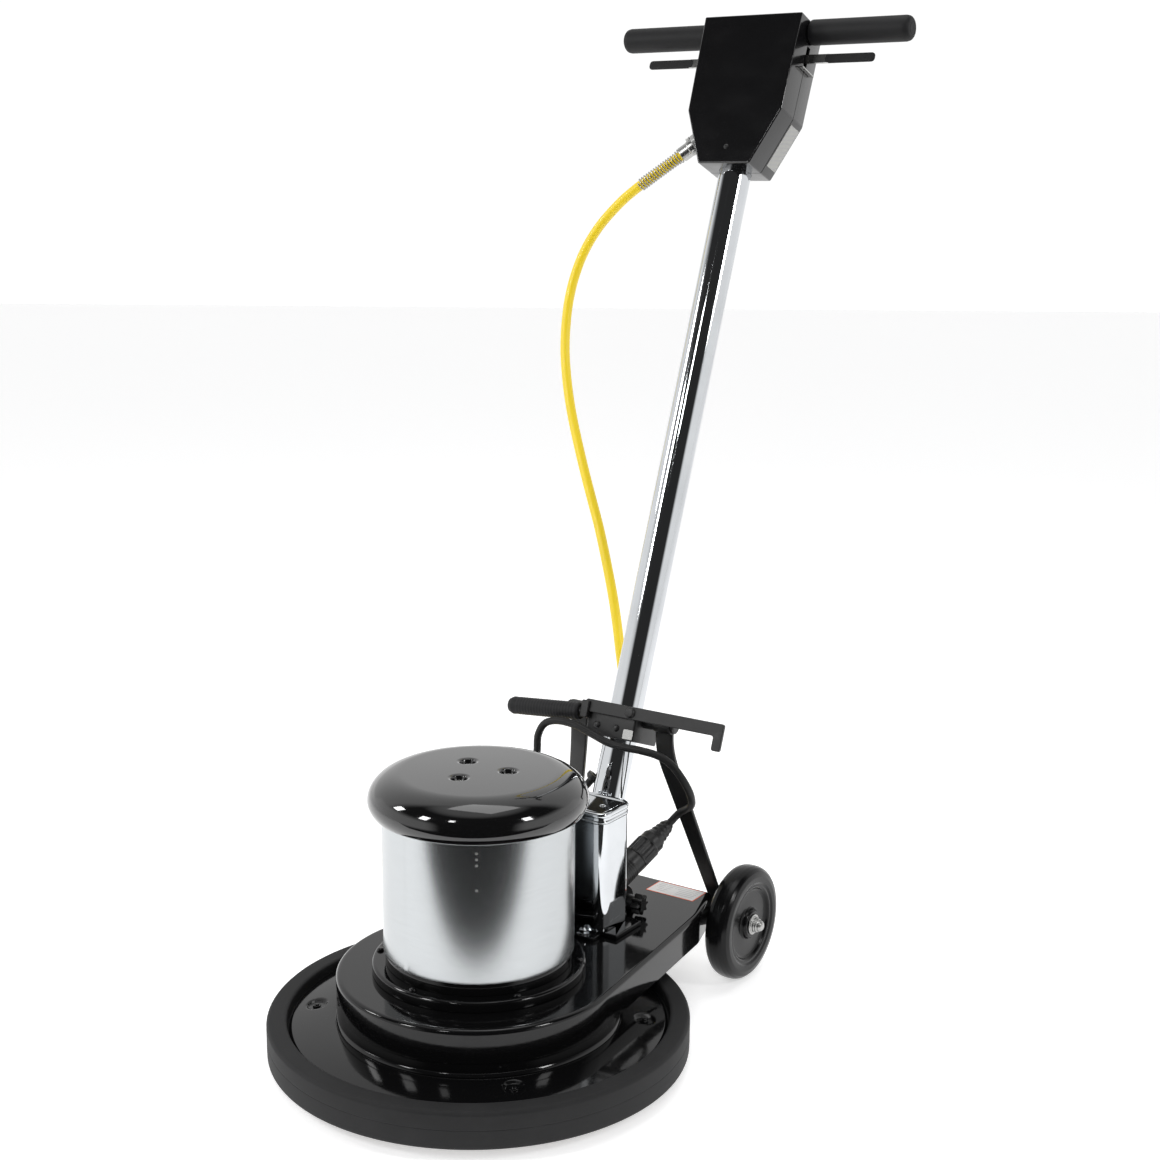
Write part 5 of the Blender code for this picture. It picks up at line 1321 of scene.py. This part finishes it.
@dataclass
class Undercarriage:
    """Wheels, axle, cap nuts and the brace straps."""

    axle: Triple = (0.0, 0.362, 0.075)
    wheel_radius: float = 0.0735
    wheel_width: float = 0.033
    inner: float = 0.1305

    def build(self) -> None:
        """Both sides."""
        for side, sign, body in (("left", -1.0, Body.WHEEL_LEFT), ("right", 1.0, Body.WHEEL_RIGHT)):
            place = Place.along(self.axle, (sign, 0, 0))
            self.wheel(side, place, body)
            self.nut(side, place)
            self.strut(side, sign)
        rod = turned([(0, -0.170), (0.0079, -0.170), (0.0079, 0.170), (0, 0.170)], 48, 0.0006)
        show(rod, "axle_rod", ZINC, Body.CHASSIS, Place.along(self.axle, (1, 0, 0)), ("axle",))

    def wheel(self, side: str, place: Place, body: Body) -> None:
        """A solid moulded wheel: hub, dished web, raised ring and a full round tread."""
        w, r, i = self.wheel_width, self.wheel_radius, self.inner
        half = [(0.0082, 0.0), (0.0165, 0.0), (0.0185, 0.0020), (0.0195, 0.0050), (0.0215, 0.0066),
                (0.0420, 0.0066),
                (0.0450, 0.0052), (0.0468, 0.0026), (0.0490, 0.0018), (0.0510, 0.0022), (0.0540, 0.0004),
                (r - 0.0125, 0.0),
                (r - 0.0060, 0.0016), (r - 0.0022, 0.0055), (r - 0.0004, 0.0105), (r, w / 2)]
        line = half + [(a, w - b) for a, b in reversed(half[:-1])]
        shell = turned([(a, b + i) for a, b in line], 160, 0.0009, 4)
        show(shell, f"transport_wheel_{side}", TYRE, body, place, (f"wheel_{side}",), 40)

    def nut(self, side: str, place: Place) -> None:
        """Stacked washers and a ribbed cap nut that closes the axle's end."""
        low = self.inner + self.wheel_width + 0.0003
        high = low + 0.0145
        shell = turned([(0.0082, low), (0.0130, low), (0.0130, low + 0.0014), (0.0112, low + 0.0016),
                        (0.0112, low + 0.0026),
                        (0.0098, low + 0.0030), (0.0096, low + 0.0052), (0.0088, low + 0.0056),
                        (0.0086, low + 0.0078),
                        (0.0074, low + 0.0084), (0.0070, low + 0.0108), (0.0052, high - 0.0012),
                        (0.0030, high), (0, high),
                        (0, 0.1704), (0.0082, 0.1704)], 64, 0.0004, 3)
        show(shell, f"cap_nut_{side}", ZINC, Body.CHASSIS, place, (f"axle_nut_{side}",), 40)

    def strut(self, side: str, sign: float) -> None:
        """A flat strap with a knee below its top: a rounded section carried along three stations."""
        foot = np.array((sign * 0.1195, 0.362, 0.075))
        top = np.array((sign * 0.064, 0.3005, 0.338))
        knee = top - (0, 0, 0.035)
        t = np.linspace(0, 1, 9)[:, None]
        bend = (1 - t) ** 2 * (knee + 0.10 * (foot - knee)) + 2 * t * (1 - t) * knee + t**2 * (knee + (0, 0,
                0.020))
        line = np.vstack([foot, foot + (knee - foot) * 0.45, bend, top])
        widths = np.interp(line[:, 2], (0.075, 0.303, 0.338), (0.0170, 0.0244, 0.0244))
        tangent = np.gradient(line, axis=0)
        tangent /= np.linalg.norm(tangent, axis=1, keepdims=True)
        out = np.array((0.0, 1.0, 0.0)) - tangent * tangent[:, 1:2]
        out /= np.linalg.norm(out, axis=1, keepdims=True)
        across = np.cross(tangent, out)
        section = rectangle(-0.5, -0.5, 0.5, 0.5, 0.14, 3)
        ring = (line[:, None] + across[:, None] * section[None, :, :1] * widths[:, None, None]
                + out[:, None] * section[None, :, 1:] * 0.0048)
        shell = Shell().grid(ring, capped=True)
        lie = Place.along((0, 0, 0), (sign, 0, 0))
        eye = turned([(0.0083, 0.1070), (0.0133, 0.1070), (0.0133, 0.1300), (0.0083, 0.1300)], 48)
        barrel = turned([(0.0067, 0.0517), (0.0104, 0.0517), (0.0104, 0.0763), (0.0067, 0.0763)], 48)
        shell.add(eye, Place.at(*self.axle).then(lie)).add(barrel, Place.at(0, 0.3005, 0.338).then(lie))
        show(shell, f"brace_strap_{side}", SATIN, Body.BRACE, HERE, (f"brace_strut_{side}",), 40)


# ---------------------------------------------------------------- clamp and lever


@dataclass
class ClampSet:
    """The bracket that slides on the tube, and its release lever."""

    half_width: float = 0.036
    half_depth: float = 0.030
    below: float = 0.029
    above: float = 0.0135
    lever_rise: float = 0.006
    lever_x: float = 0.028

    def build(self) -> None:
        """Bracket, pins, plate and lever."""
        self.bracket()
        self.lever()

    def bracket(self) -> None:
        """A block bored for the tube, with stepped pins at its sides and a pin for the lever."""
        w, d = self.half_width, self.half_depth
        outer = rectangle(-w, -d, w, d, 0.004, 4)
        block = slab(outer, -self.below, self.above, 0.0015)
        made = show(block, "clamp_block", SATIN, Body.CLAMP, CLAMP, ("clamp_bracket",))
        carved(made, [turned([(0, -0.1), (0.0215, -0.1), (0.0215, 0.1), (0, 0.1)], 96, 0.0)], CLAMP)
        pin_y = -0.00776
        pins = Shell()
        pin = [(0, 0.033), (0.0093, 0.033), (0.0093, 0.0509), (0.004, 0.0509), (0.004, 0.0771),
               (0.0093, 0.0771), (0.0093, 0.0795),
               (0.0070, 0.0809), (0, 0.0809)]
        for sign in (-1.0, 1.0):
            pins.add(turned(pin, 40, 0.0005), Place.along((0, pin_y, 0), (sign, 0, 0)))
        show(pins, "clamp_side_pins", SATIN, Body.CLAMP, CLAMP)
        heads = Shell()
        for x, z in ((0.0085, -0.0160), (-0.020, -0.0160)):
            heads.add(turned([(0, 0), (0.0046, 0), (0.0042, 0.0016), (0.0024, 0.0028), (0, 0.0031)], 24,
                             0.0004),
                      Place.along((x, -d + 0.0001, z), (0, -1, 0)))
        heads.add(turned([(0, 0.0345), (0.0068, 0.0345), (0.0068, 0.0366), (0.0050, 0.0392), (0, 0.0395)],
                         32, 0.0005),
                  Place.along((self.lever_x, 0, self.lever_rise), (0, -1, 0)))
        show(heads, "clamp_bolts", SATIN, Body.CLAMP, CLAMP)
        plate = slab(rectangle(0.020, -0.0275, 0.0345, -0.0150, 0.002), d, d + 0.0008, 0.0003)
        show(plate, "clamp_plate", ZINC, Body.CLAMP,
             CLAMP.then(Place(Matrix.Rotation(math.pi / 2, 4, "X"))))

    def lever(self) -> None:
        """The flat arm with its turned-down hook, the joint block, the stub and the round grip."""
        inner, outer = -self.half_depth - 0.0003, -self.half_depth - 0.0053
        left, right, half = -0.040 - self.lever_x, 0.160 - self.lever_x, 0.008
        place = CLAMP.then(Place.at(self.lever_x, 0, self.lever_rise))
        arm = np.array([(left, -half), (right - 0.012, -half), (right - 0.012, -half - 0.018),
                        (right, -half - 0.018),
                        (right, half), (left, half)])
        shell = slab(eased(arm, 0.0035, True, 5), 0, 0.005, 0.0008)
        made = Shell().add(shell, Place.at(0, outer, 0).then(UPRIGHT))
        middle = (inner + outer) / 2
        droop = math.radians(5.0)
        start = (left + 0.004, middle, -0.009)
        along = (-math.cos(droop), 0.0, -math.sin(droop))
        reach = (0.156 - 0.040) / math.cos(droop)
        joint = Shell().add(slab(rectangle(left - 0.0035, -0.0165, left + 0.0075, 0.0055, 0.002), 0, 0.0085,
                                 0.0012),
                            Place.at(0, outer - 0.0038, 0).then(UPRIGHT))
        made.add(joint)
        made.add(turned([(0, 0), (0.006, 0), (0.006, reach - 0.0065), (0, reach - 0.0065)], 40),
                 Place.along(start, along))
        show(made, "lever_arm", SATIN, Body.LEVER, place, ("release_lever",), 40)
        r = 0.0115
        ribs = [(r - 0.0004 * (k % 2), 0.014 + 0.0022 * k) for k in range(int((reach - 0.022) / 0.0022))]
        grip = turned([(0.0063, 0.010), (r - 0.0012, 0.010), (r, 0.0122), *ribs, (r, reach - 0.005),
                       (r - 0.0025, reach + 0.0008),
                       (r - 0.0065, reach + 0.0026), (0, reach + 0.0029), (0, reach - 0.0055),
                       (0.0063, reach - 0.0055)], 64, 0.0006, 3)
        show(grip, "lever_sleeve", GRIP, Body.LEVER, place.then(Place.along(start, along)), ("lever_grip",),
             45)


# ---------------------------------------------------------------- handle


@dataclass
class Handle:
    """The chromed tube, the bar and its grips, the switch case, triggers and button."""

    tube_radius: float = 0.0212
    tube_wall: float = 0.0022
    tube_foot: float = 0.005
    bar_height: float = 1.1369
    bar_radius: float = 0.0127
    case_top: float = 1.1490
    case_shoulder: float = 1.0196
    case_bottom: float = 0.947
    halves: tuple[float, float, float] = (0.0715, 0.0690, 0.0377)
    case_front: float = 0.036
    case_rear: float = 0.0296
    trigger_height: float = 1.1005
    trigger_pivot: float = 0.058
    button: tuple[float, float] = (-0.045, 1.040)

    def build(self) -> None:
        """All handle pieces."""
        self.tube()
        self.bar()
        self.case()
        for side, sign, body in (("left", -1.0, Body.TRIGGER_LEFT), ("right", 1.0, Body.TRIGGER_RIGHT)):
            self.trigger(side, sign, body)
        self.small_parts()

    def tube(self) -> None:
        """The tube with its bore, on a welded cross sleeve."""
        r, top = self.tube_radius, self.bar_height - self.bar_radius - 0.0003
        heights = np.linspace(self.tube_foot + 0.002, top - 0.002, 12)
        shell = turned([(0, self.tube_foot), (r, self.tube_foot), *[(r, z) for z in heights], (r, top),
                        (r - self.tube_wall, top),
                        (r - self.tube_wall, 0.030), (0, 0.030)], 128, 0.0006)
        show(shell, "main_tube", CHROME, Body.HANDLE, HANDLE, ("handle_tube",))
        sleeve = turned([(0.0064, -0.0461), (0.0121, -0.0461), (0.0121, 0.0461), (0.0064, 0.0461)], 64)
        show(sleeve, "tube_foot_sleeve", SATIN, Body.HANDLE, HANDLE.then(Place.along((0, 0, 0), (1, 0, 0))))

    def bar(self) -> None:
        """The cross bar, and two plain rubber grips with closed, rounded ends."""
        place = HANDLE.then(Place.along((0, 0, self.bar_height), (1, 0, 0)))
        show(turned([(0, -0.205), (self.bar_radius, -0.205), (self.bar_radius, 0.205), (0, 0.205)], 64,
                    0.001),
             "bar", ZINC, Body.HANDLE, place, ("cross_bar",))
        for side, sign in (("left", -1.0), ("right", 1.0)):
            place = HANDLE.then(Place.along((0, 0, self.bar_height), (sign, 0, 0)))
            grip = turned([(0.0130, 0.0725), (0.0160, 0.0725), (0.0163, 0.0745), (0.0163, 0.1300),
                           (0.0163, 0.2035), (0.0152, 0.2078),
                           (0.0125, 0.2104), (0.0085, 0.2110), (0.0078, 0.2104), (0.0070, 0.2110),
                           (0, 0.2110), (0, 0.2053),
                           (0.0130, 0.2053)], 96, 0.0012)
            show(grip, f"grip_{side}", GRIP, Body.HANDLE, place, (f"hand_grip_{side}",), 45)

    def outline(self, shrink: float = 0.0) -> Points:
        """The case from the front, anticlockwise, with just-eased corners."""
        top, shoulder, bottom = self.halves
        right = np.array([(bottom, self.case_bottom), (shoulder, self.case_shoulder), (top, self.case_top)])
        line = np.vstack([right, (right * (-1, 1))[::-1]])
        return eased(inset(line, shrink), max(0.0022 - shrink, 0.0006), True, 4)

    def case(self) -> None:
        """Two sheet halves that meet along the sides, cut for the bar, the tube and the triggers."""
        bar = Shell().add(turned([(0, -0.1), (0.0130, -0.1), (0.0130, 0.1), (0, 0.1)], 64, 0.0),
                          Place.along((0, 0, self.bar_height), (1, 0, 0)))
        tube = turned([(0, self.case_bottom - 0.02), (0.0215, self.case_bottom - 0.02),
                       (0.0215, self.case_bottom + 0.02),
                       (0, self.case_bottom + 0.02)], 96, 0.0)
        slots = []
        for x in (-0.0805, 0.0600):
            slots.append(Shell().add(slab(rectangle(x, 1.0885, x + 0.0205, 1.1165, 0.001), -0.0045, 0.0045,
                                          0.0002, 1), UPRIGHT))
        for name, face, rim, node in (("case_front", -self.case_front, -0.00015, "switch_case_front"),
                                      ("case_back", self.case_rear, 0.00015, "switch_case_rear")):
            shell = tray(self.outline, face, rim, 0.003, 0.0020)
            made = show(shell, name, CASE_GLOSS, Body.HANDLE, HANDLE.then(UPRIGHT), (node,), 30)
            carved(made, [bar, tube, *slots], HANDLE)
        screws = Shell()
        for x, y, z, turn in ((0.0, -self.case_front, 0.969, -1.0), (0.0, self.case_rear, 0.969, 1.0),
                              (-0.052, self.case_rear, 1.132, 1.0),
                              (0.052, self.case_rear, 1.132, 1.0)):
            head = turned([(0, -0.0006), (0.0036, -0.0006), (0.0032, 0.0010), (0.0014, 0.0019),
                           (0.0009, 0.0010), (0, 0.0009)], 32, 0.0003)
            screws.add(head, Place.along((x, y, z), (0, turn, 0)))
        show(screws, "case_screws", SATIN, Body.HANDLE, HANDLE)

    def trigger(self, side: str, sign: float, body: Body) -> None:
        """A zinc blade that carries a black dipped sleeve on its outer part."""
        half, end = 0.006, 0.167
        axis = HANDLE.then(Place.at(0, 0, self.trigger_height))
        blade = np.array([(0.050, -half), (0.104, -half), (0.104, half), (0.050, half)]) * (sign, 1)
        dipped = np.array([(0.098, -half), (end, -half), (end, half), (0.098, half)]) * (sign, 1)
        if sign < 0:
            blade, dipped = blade[::-1], dipped[::-1]
        shell = Shell().add(slab(eased(blade, 0.0012, True, 4), -0.0015, 0.0015, 0.0004), UPRIGHT)
        made = show(shell, f"trigger_blade_{side}", ZINC, body, axis, (f"trigger_{side}",))
        carved(made, [Shell().add(turned([(0, -0.01), (0.0033, -0.01), (0.0033, 0.01), (0, 0.01)], 32, 0.0),
                                  Place.along((sign * self.trigger_pivot, 0, 0), (0, 1, 0)))], axis)
        skin = Shell().add(slab(eased(dipped, 0.0055, True, 8), -0.0020, 0.0020, 0.0016, 5), UPRIGHT)
        show(skin, f"trigger_sleeve_{side}", GRIP, body, axis, (), 45)

    def small_parts(self) -> None:
        """Lock button, trigger brackets and the plain rating sticker."""
        x, z = self.button
        place = HANDLE.then(Place.along((x, 0, z), (0, 1, 0)))
        button = turned([(0, 0.0232), (0.008, 0.0232), (0.008, 0.0266), (0.006, 0.0266), (0.006, 0.0335),
                         (0.0048, 0.0348), (0, 0.0350)], 40,
                        0.0005)
        show(button, "push_button", RED_PLASTIC, Body.BUTTON, place, ("lock_button",))
        brackets = Shell()
        for sign in (-1.0, 1.0):
            line = np.array([(0.0712, 1.0835), (0.0765, 1.0835), (0.0765, 1.0850),
                             (0.0712, 1.0850)]) * (sign, 1)
            line = line if sign > 0 else line[::-1]
            brackets.add(slab(line, -0.016, 0.018, 0.0002, 1), UPRIGHT)
        show(brackets, "trigger_brackets", ZINC, Body.HANDLE, HANDLE)
        top, shoulder, bottom = self.halves
        low, high = np.array((bottom, self.case_bottom)), np.array((shoulder, self.case_shoulder))
        along = (high - low) / np.linalg.norm(high - low)
        out = np.array((along[1], -along[0]))
        start = low + along * 0.012 + out * 0.0001
        end = low + along * 0.072 + out * 0.0001
        line = np.array([start, start + out * 0.0003, end + out * 0.0003, end])
        sticker = Shell().add(slab(line[::-1], 0.0025, 0.0265, 0.00005, 1), UPRIGHT)
        finish = PrintedLabel("side_label", (0.46, 0.46, 0.44), 0.45, (0.0, 1.2), (9.0, 9.0),
                              (0.4, 0.4, 0.4), (0, 2))
        show(sticker, "side_sticker", finish, Body.HANDLE, HANDLE)


# ---------------------------------------------------------------- carried solids


@dataclass(frozen=True)
class CarriedSolids:
    """Solids that keep their own shape and take a finish."""

    finishes: tuple[tuple[Finish, tuple[str, ...]], ...] = (
        (PAD, ("burnishing_pad",)),
        (BLACK_PLASTIC, ("pad_driver", "power_switch")),
        (RED_PLASTIC, ("pad_lock",)),
        (CASTING, ("drive_hub", "cooling_fan", "rectifier")),
        (STEEL, ("armature_shaft", "lower_bearing", "upper_bearing")),
        (COPPER, ("armature_core", "commutator")),
        (LAMINATED, ("field_frame",)),
        (SATIN, ("upper_end_bell",)),
        (BRASS, ("brush_holder_left", "brush_holder_right")),
        (CARBON, ("carbon_brush_left", "carbon_brush_right")),
    )

    def dress(self) -> None:
        """Gives each solid its finish."""
        for finish, names in self.finishes:
            for name in names:
                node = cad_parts[name]
                for slot in node.material_slots:
                    slot.material = finish.material()
                if not node.material_slots:
                    node.data.materials.append(finish.material())
                log.info("%s: %s", name, finish.name)


# ---------------------------------------------------------------- studio


@dataclass
class Studio:
    """Floor, light and camera."""

    eye: Triple = (1.15963, -1.52394, 0.98451)
    right: Triple = (0.82927435, 0.55879109, 0.00752104)
    up: Triple = (-0.12477972, 0.17202741, 0.9771574)
    back: Triple = (0.54473303, -0.81127005, 0.21238372)
    focal: float = 1772.23
    frame_width: float = 1160.0
    sweep_front: float = 0.47

    def camera(self) -> None:
        """The camera: its axes are the columns of its rotation."""
        data = bpy.data.cameras.new("view")
        data.sensor_fit = "HORIZONTAL"
        data.sensor_width = 36.0
        data.lens = self.focal * 36.0 / self.frame_width
        data.clip_end = 60.0
        made = bpy.data.objects.new("view", data)
        bpy.context.scene.collection.objects.link(made)
        turn = Matrix((self.right, self.up, self.back)).transposed().to_4x4()
        made.matrix_world = Matrix.Translation(self.eye) @ turn
        bpy.context.scene.camera = made

    def floor(self) -> None:
        """A white sweep: wide and deep behind, and cut off in front of the machine."""
        across, forward = np.array((self.right[0], self.right[1])), np.array((self.back[0], self.back[1]))
        across, forward = across / np.linalg.norm(across), forward / np.linalg.norm(forward)
        u, v = np.meshgrid(np.linspace(-9.0, 9.0, 13), np.linspace(-14.0, self.sweep_front, 13),
                           indexing="ij")
        level = u[..., None] * across + v[..., None] * forward
        made = Shell().grid(np.concatenate([level, np.full((*u.shape, 1), -0.0004)], -1),
                            wrap_columns=False).mesh("floor", HERE, 30)
        if made.data.polygons[0].normal.z < 0:
            made.data.flip_normals()
        made.data.materials.append(FLOOR.material())
        made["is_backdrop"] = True

    def panel(self, name: str, spot: Triple, aim: Triple, size: tuple[float, float], power: float,
              mirrored: bool = True) -> None:
        """One soft box, which shiny faces may or may not mirror."""
        data = bpy.data.lights.new(name, "AREA")
        data.shape = "RECTANGLE"
        data.size, data.size_y = size
        data.energy = power
        made = bpy.data.objects.new(name, data)
        bpy.context.scene.collection.objects.link(made)
        made.visible_glossy = mirrored
        away = Vector(spot) - Vector(aim)
        made.matrix_world = Matrix.Translation(spot) @ away.to_track_quat("Z", "Y").to_matrix().to_4x4()

    def room(self) -> None:
        """Ambient light by direction: bright at both sides and along the low backdrop, dark in front.

        The level is the largest of the sides (smooth step of |d.across|), the backdrop (behind and
        low), the ceiling, and a faint fill that is stronger behind than in front.
        """
        world = bpy.data.worlds.new("room")
        bpy.context.scene.world = world
        world.use_nodes = True
        graph = Graph(world.node_tree, "Background", "Generated")
        across = graph.towards((0.829, 0.559, 0.0)).size()
        forward = graph.towards((0.557, -0.830, 0.0))
        height = graph.axis(2)
        behind = forward.spread(-0.35, -0.10, 1.0, 0.0)
        sides = across.spread(0.55, 0.80) * height.spread(-0.25, -0.05) * height.spread(0.30, 0.55, 1.0,
                0.0)
        backdrop = behind * height.spread(0.11, 0.20, 1.0, 0.0)
        ceiling = height.spread(0.82, 0.96) * 0.7
        level = (0.030 + behind * 0.80).most(sides).most(backdrop * 1.03).most(ceiling)
        shade = graph.node("ShaderNodeCombineXYZ", {}, {0: level, 1: level, 2: level}).outputs[0]
        graph.set("Color", shade)
        graph.set("Strength", 1.0)

    def lights(self) -> None:
        """Small boxes for windows in the paint, a wide one overhead, and a fill that isn't mirrored."""
        self.panel("left_box", (-1.1, -2.3, 2.1), (0, 0, 0.3), (0.45, 0.65), 17.0)
        self.panel("left_rear_box", (-2.4, -1.2, 2.0), (0, 0, 0.3), (0.45, 0.65), 15.0)
        self.panel("right_box", (2.6, 0.1, 2.0), (0, 0, 0.3), (0.45, 0.65), 17.0)
        self.panel("front_box", (0.3, -2.9, 2.9), (0, 0, 0.3), (0.35, 0.45), 8.0)
        self.panel("fill_box", (1.3, -1.9, 1.6), (0, 0.2, 0.6), (1.0, 1.0), 25.0, False)
        self.panel("top_box", (0.0, 0.3, 3.4), (0, 0.1, 0.2), (1.8, 1.4), 16.0)

    def build(self) -> None:
        """The whole studio."""
        self.camera()
        self.floor()
        self.room()
        self.lights()
        bpy.context.scene.view_settings.view_transform = "Standard"


def keep_sizes(before: object) -> None:
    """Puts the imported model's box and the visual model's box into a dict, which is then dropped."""
    def plain(value: object) -> object:
        """The box as nested lists of numbers."""
        return [plain(v) for v in value] if hasattr(value, "__len__") else float(value)
    {"cad": plain(before), "visual": plain(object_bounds())}


def main() -> None:
    """Builds every assembly in order."""
    logging.basicConfig(level=logging.INFO, format="%(message)s")
    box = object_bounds()
    Studio().build()
    for assembly in (PowerCord(), MotorLead(), CleaningHead(), Motor(), TerminalBox(), Undercarriage(),
                     ClampSet(), Handle()):
        assembly.build()
    CarriedSolids().dress()
    keep_sizes(box)


if __name__ == "__main__":
    main()
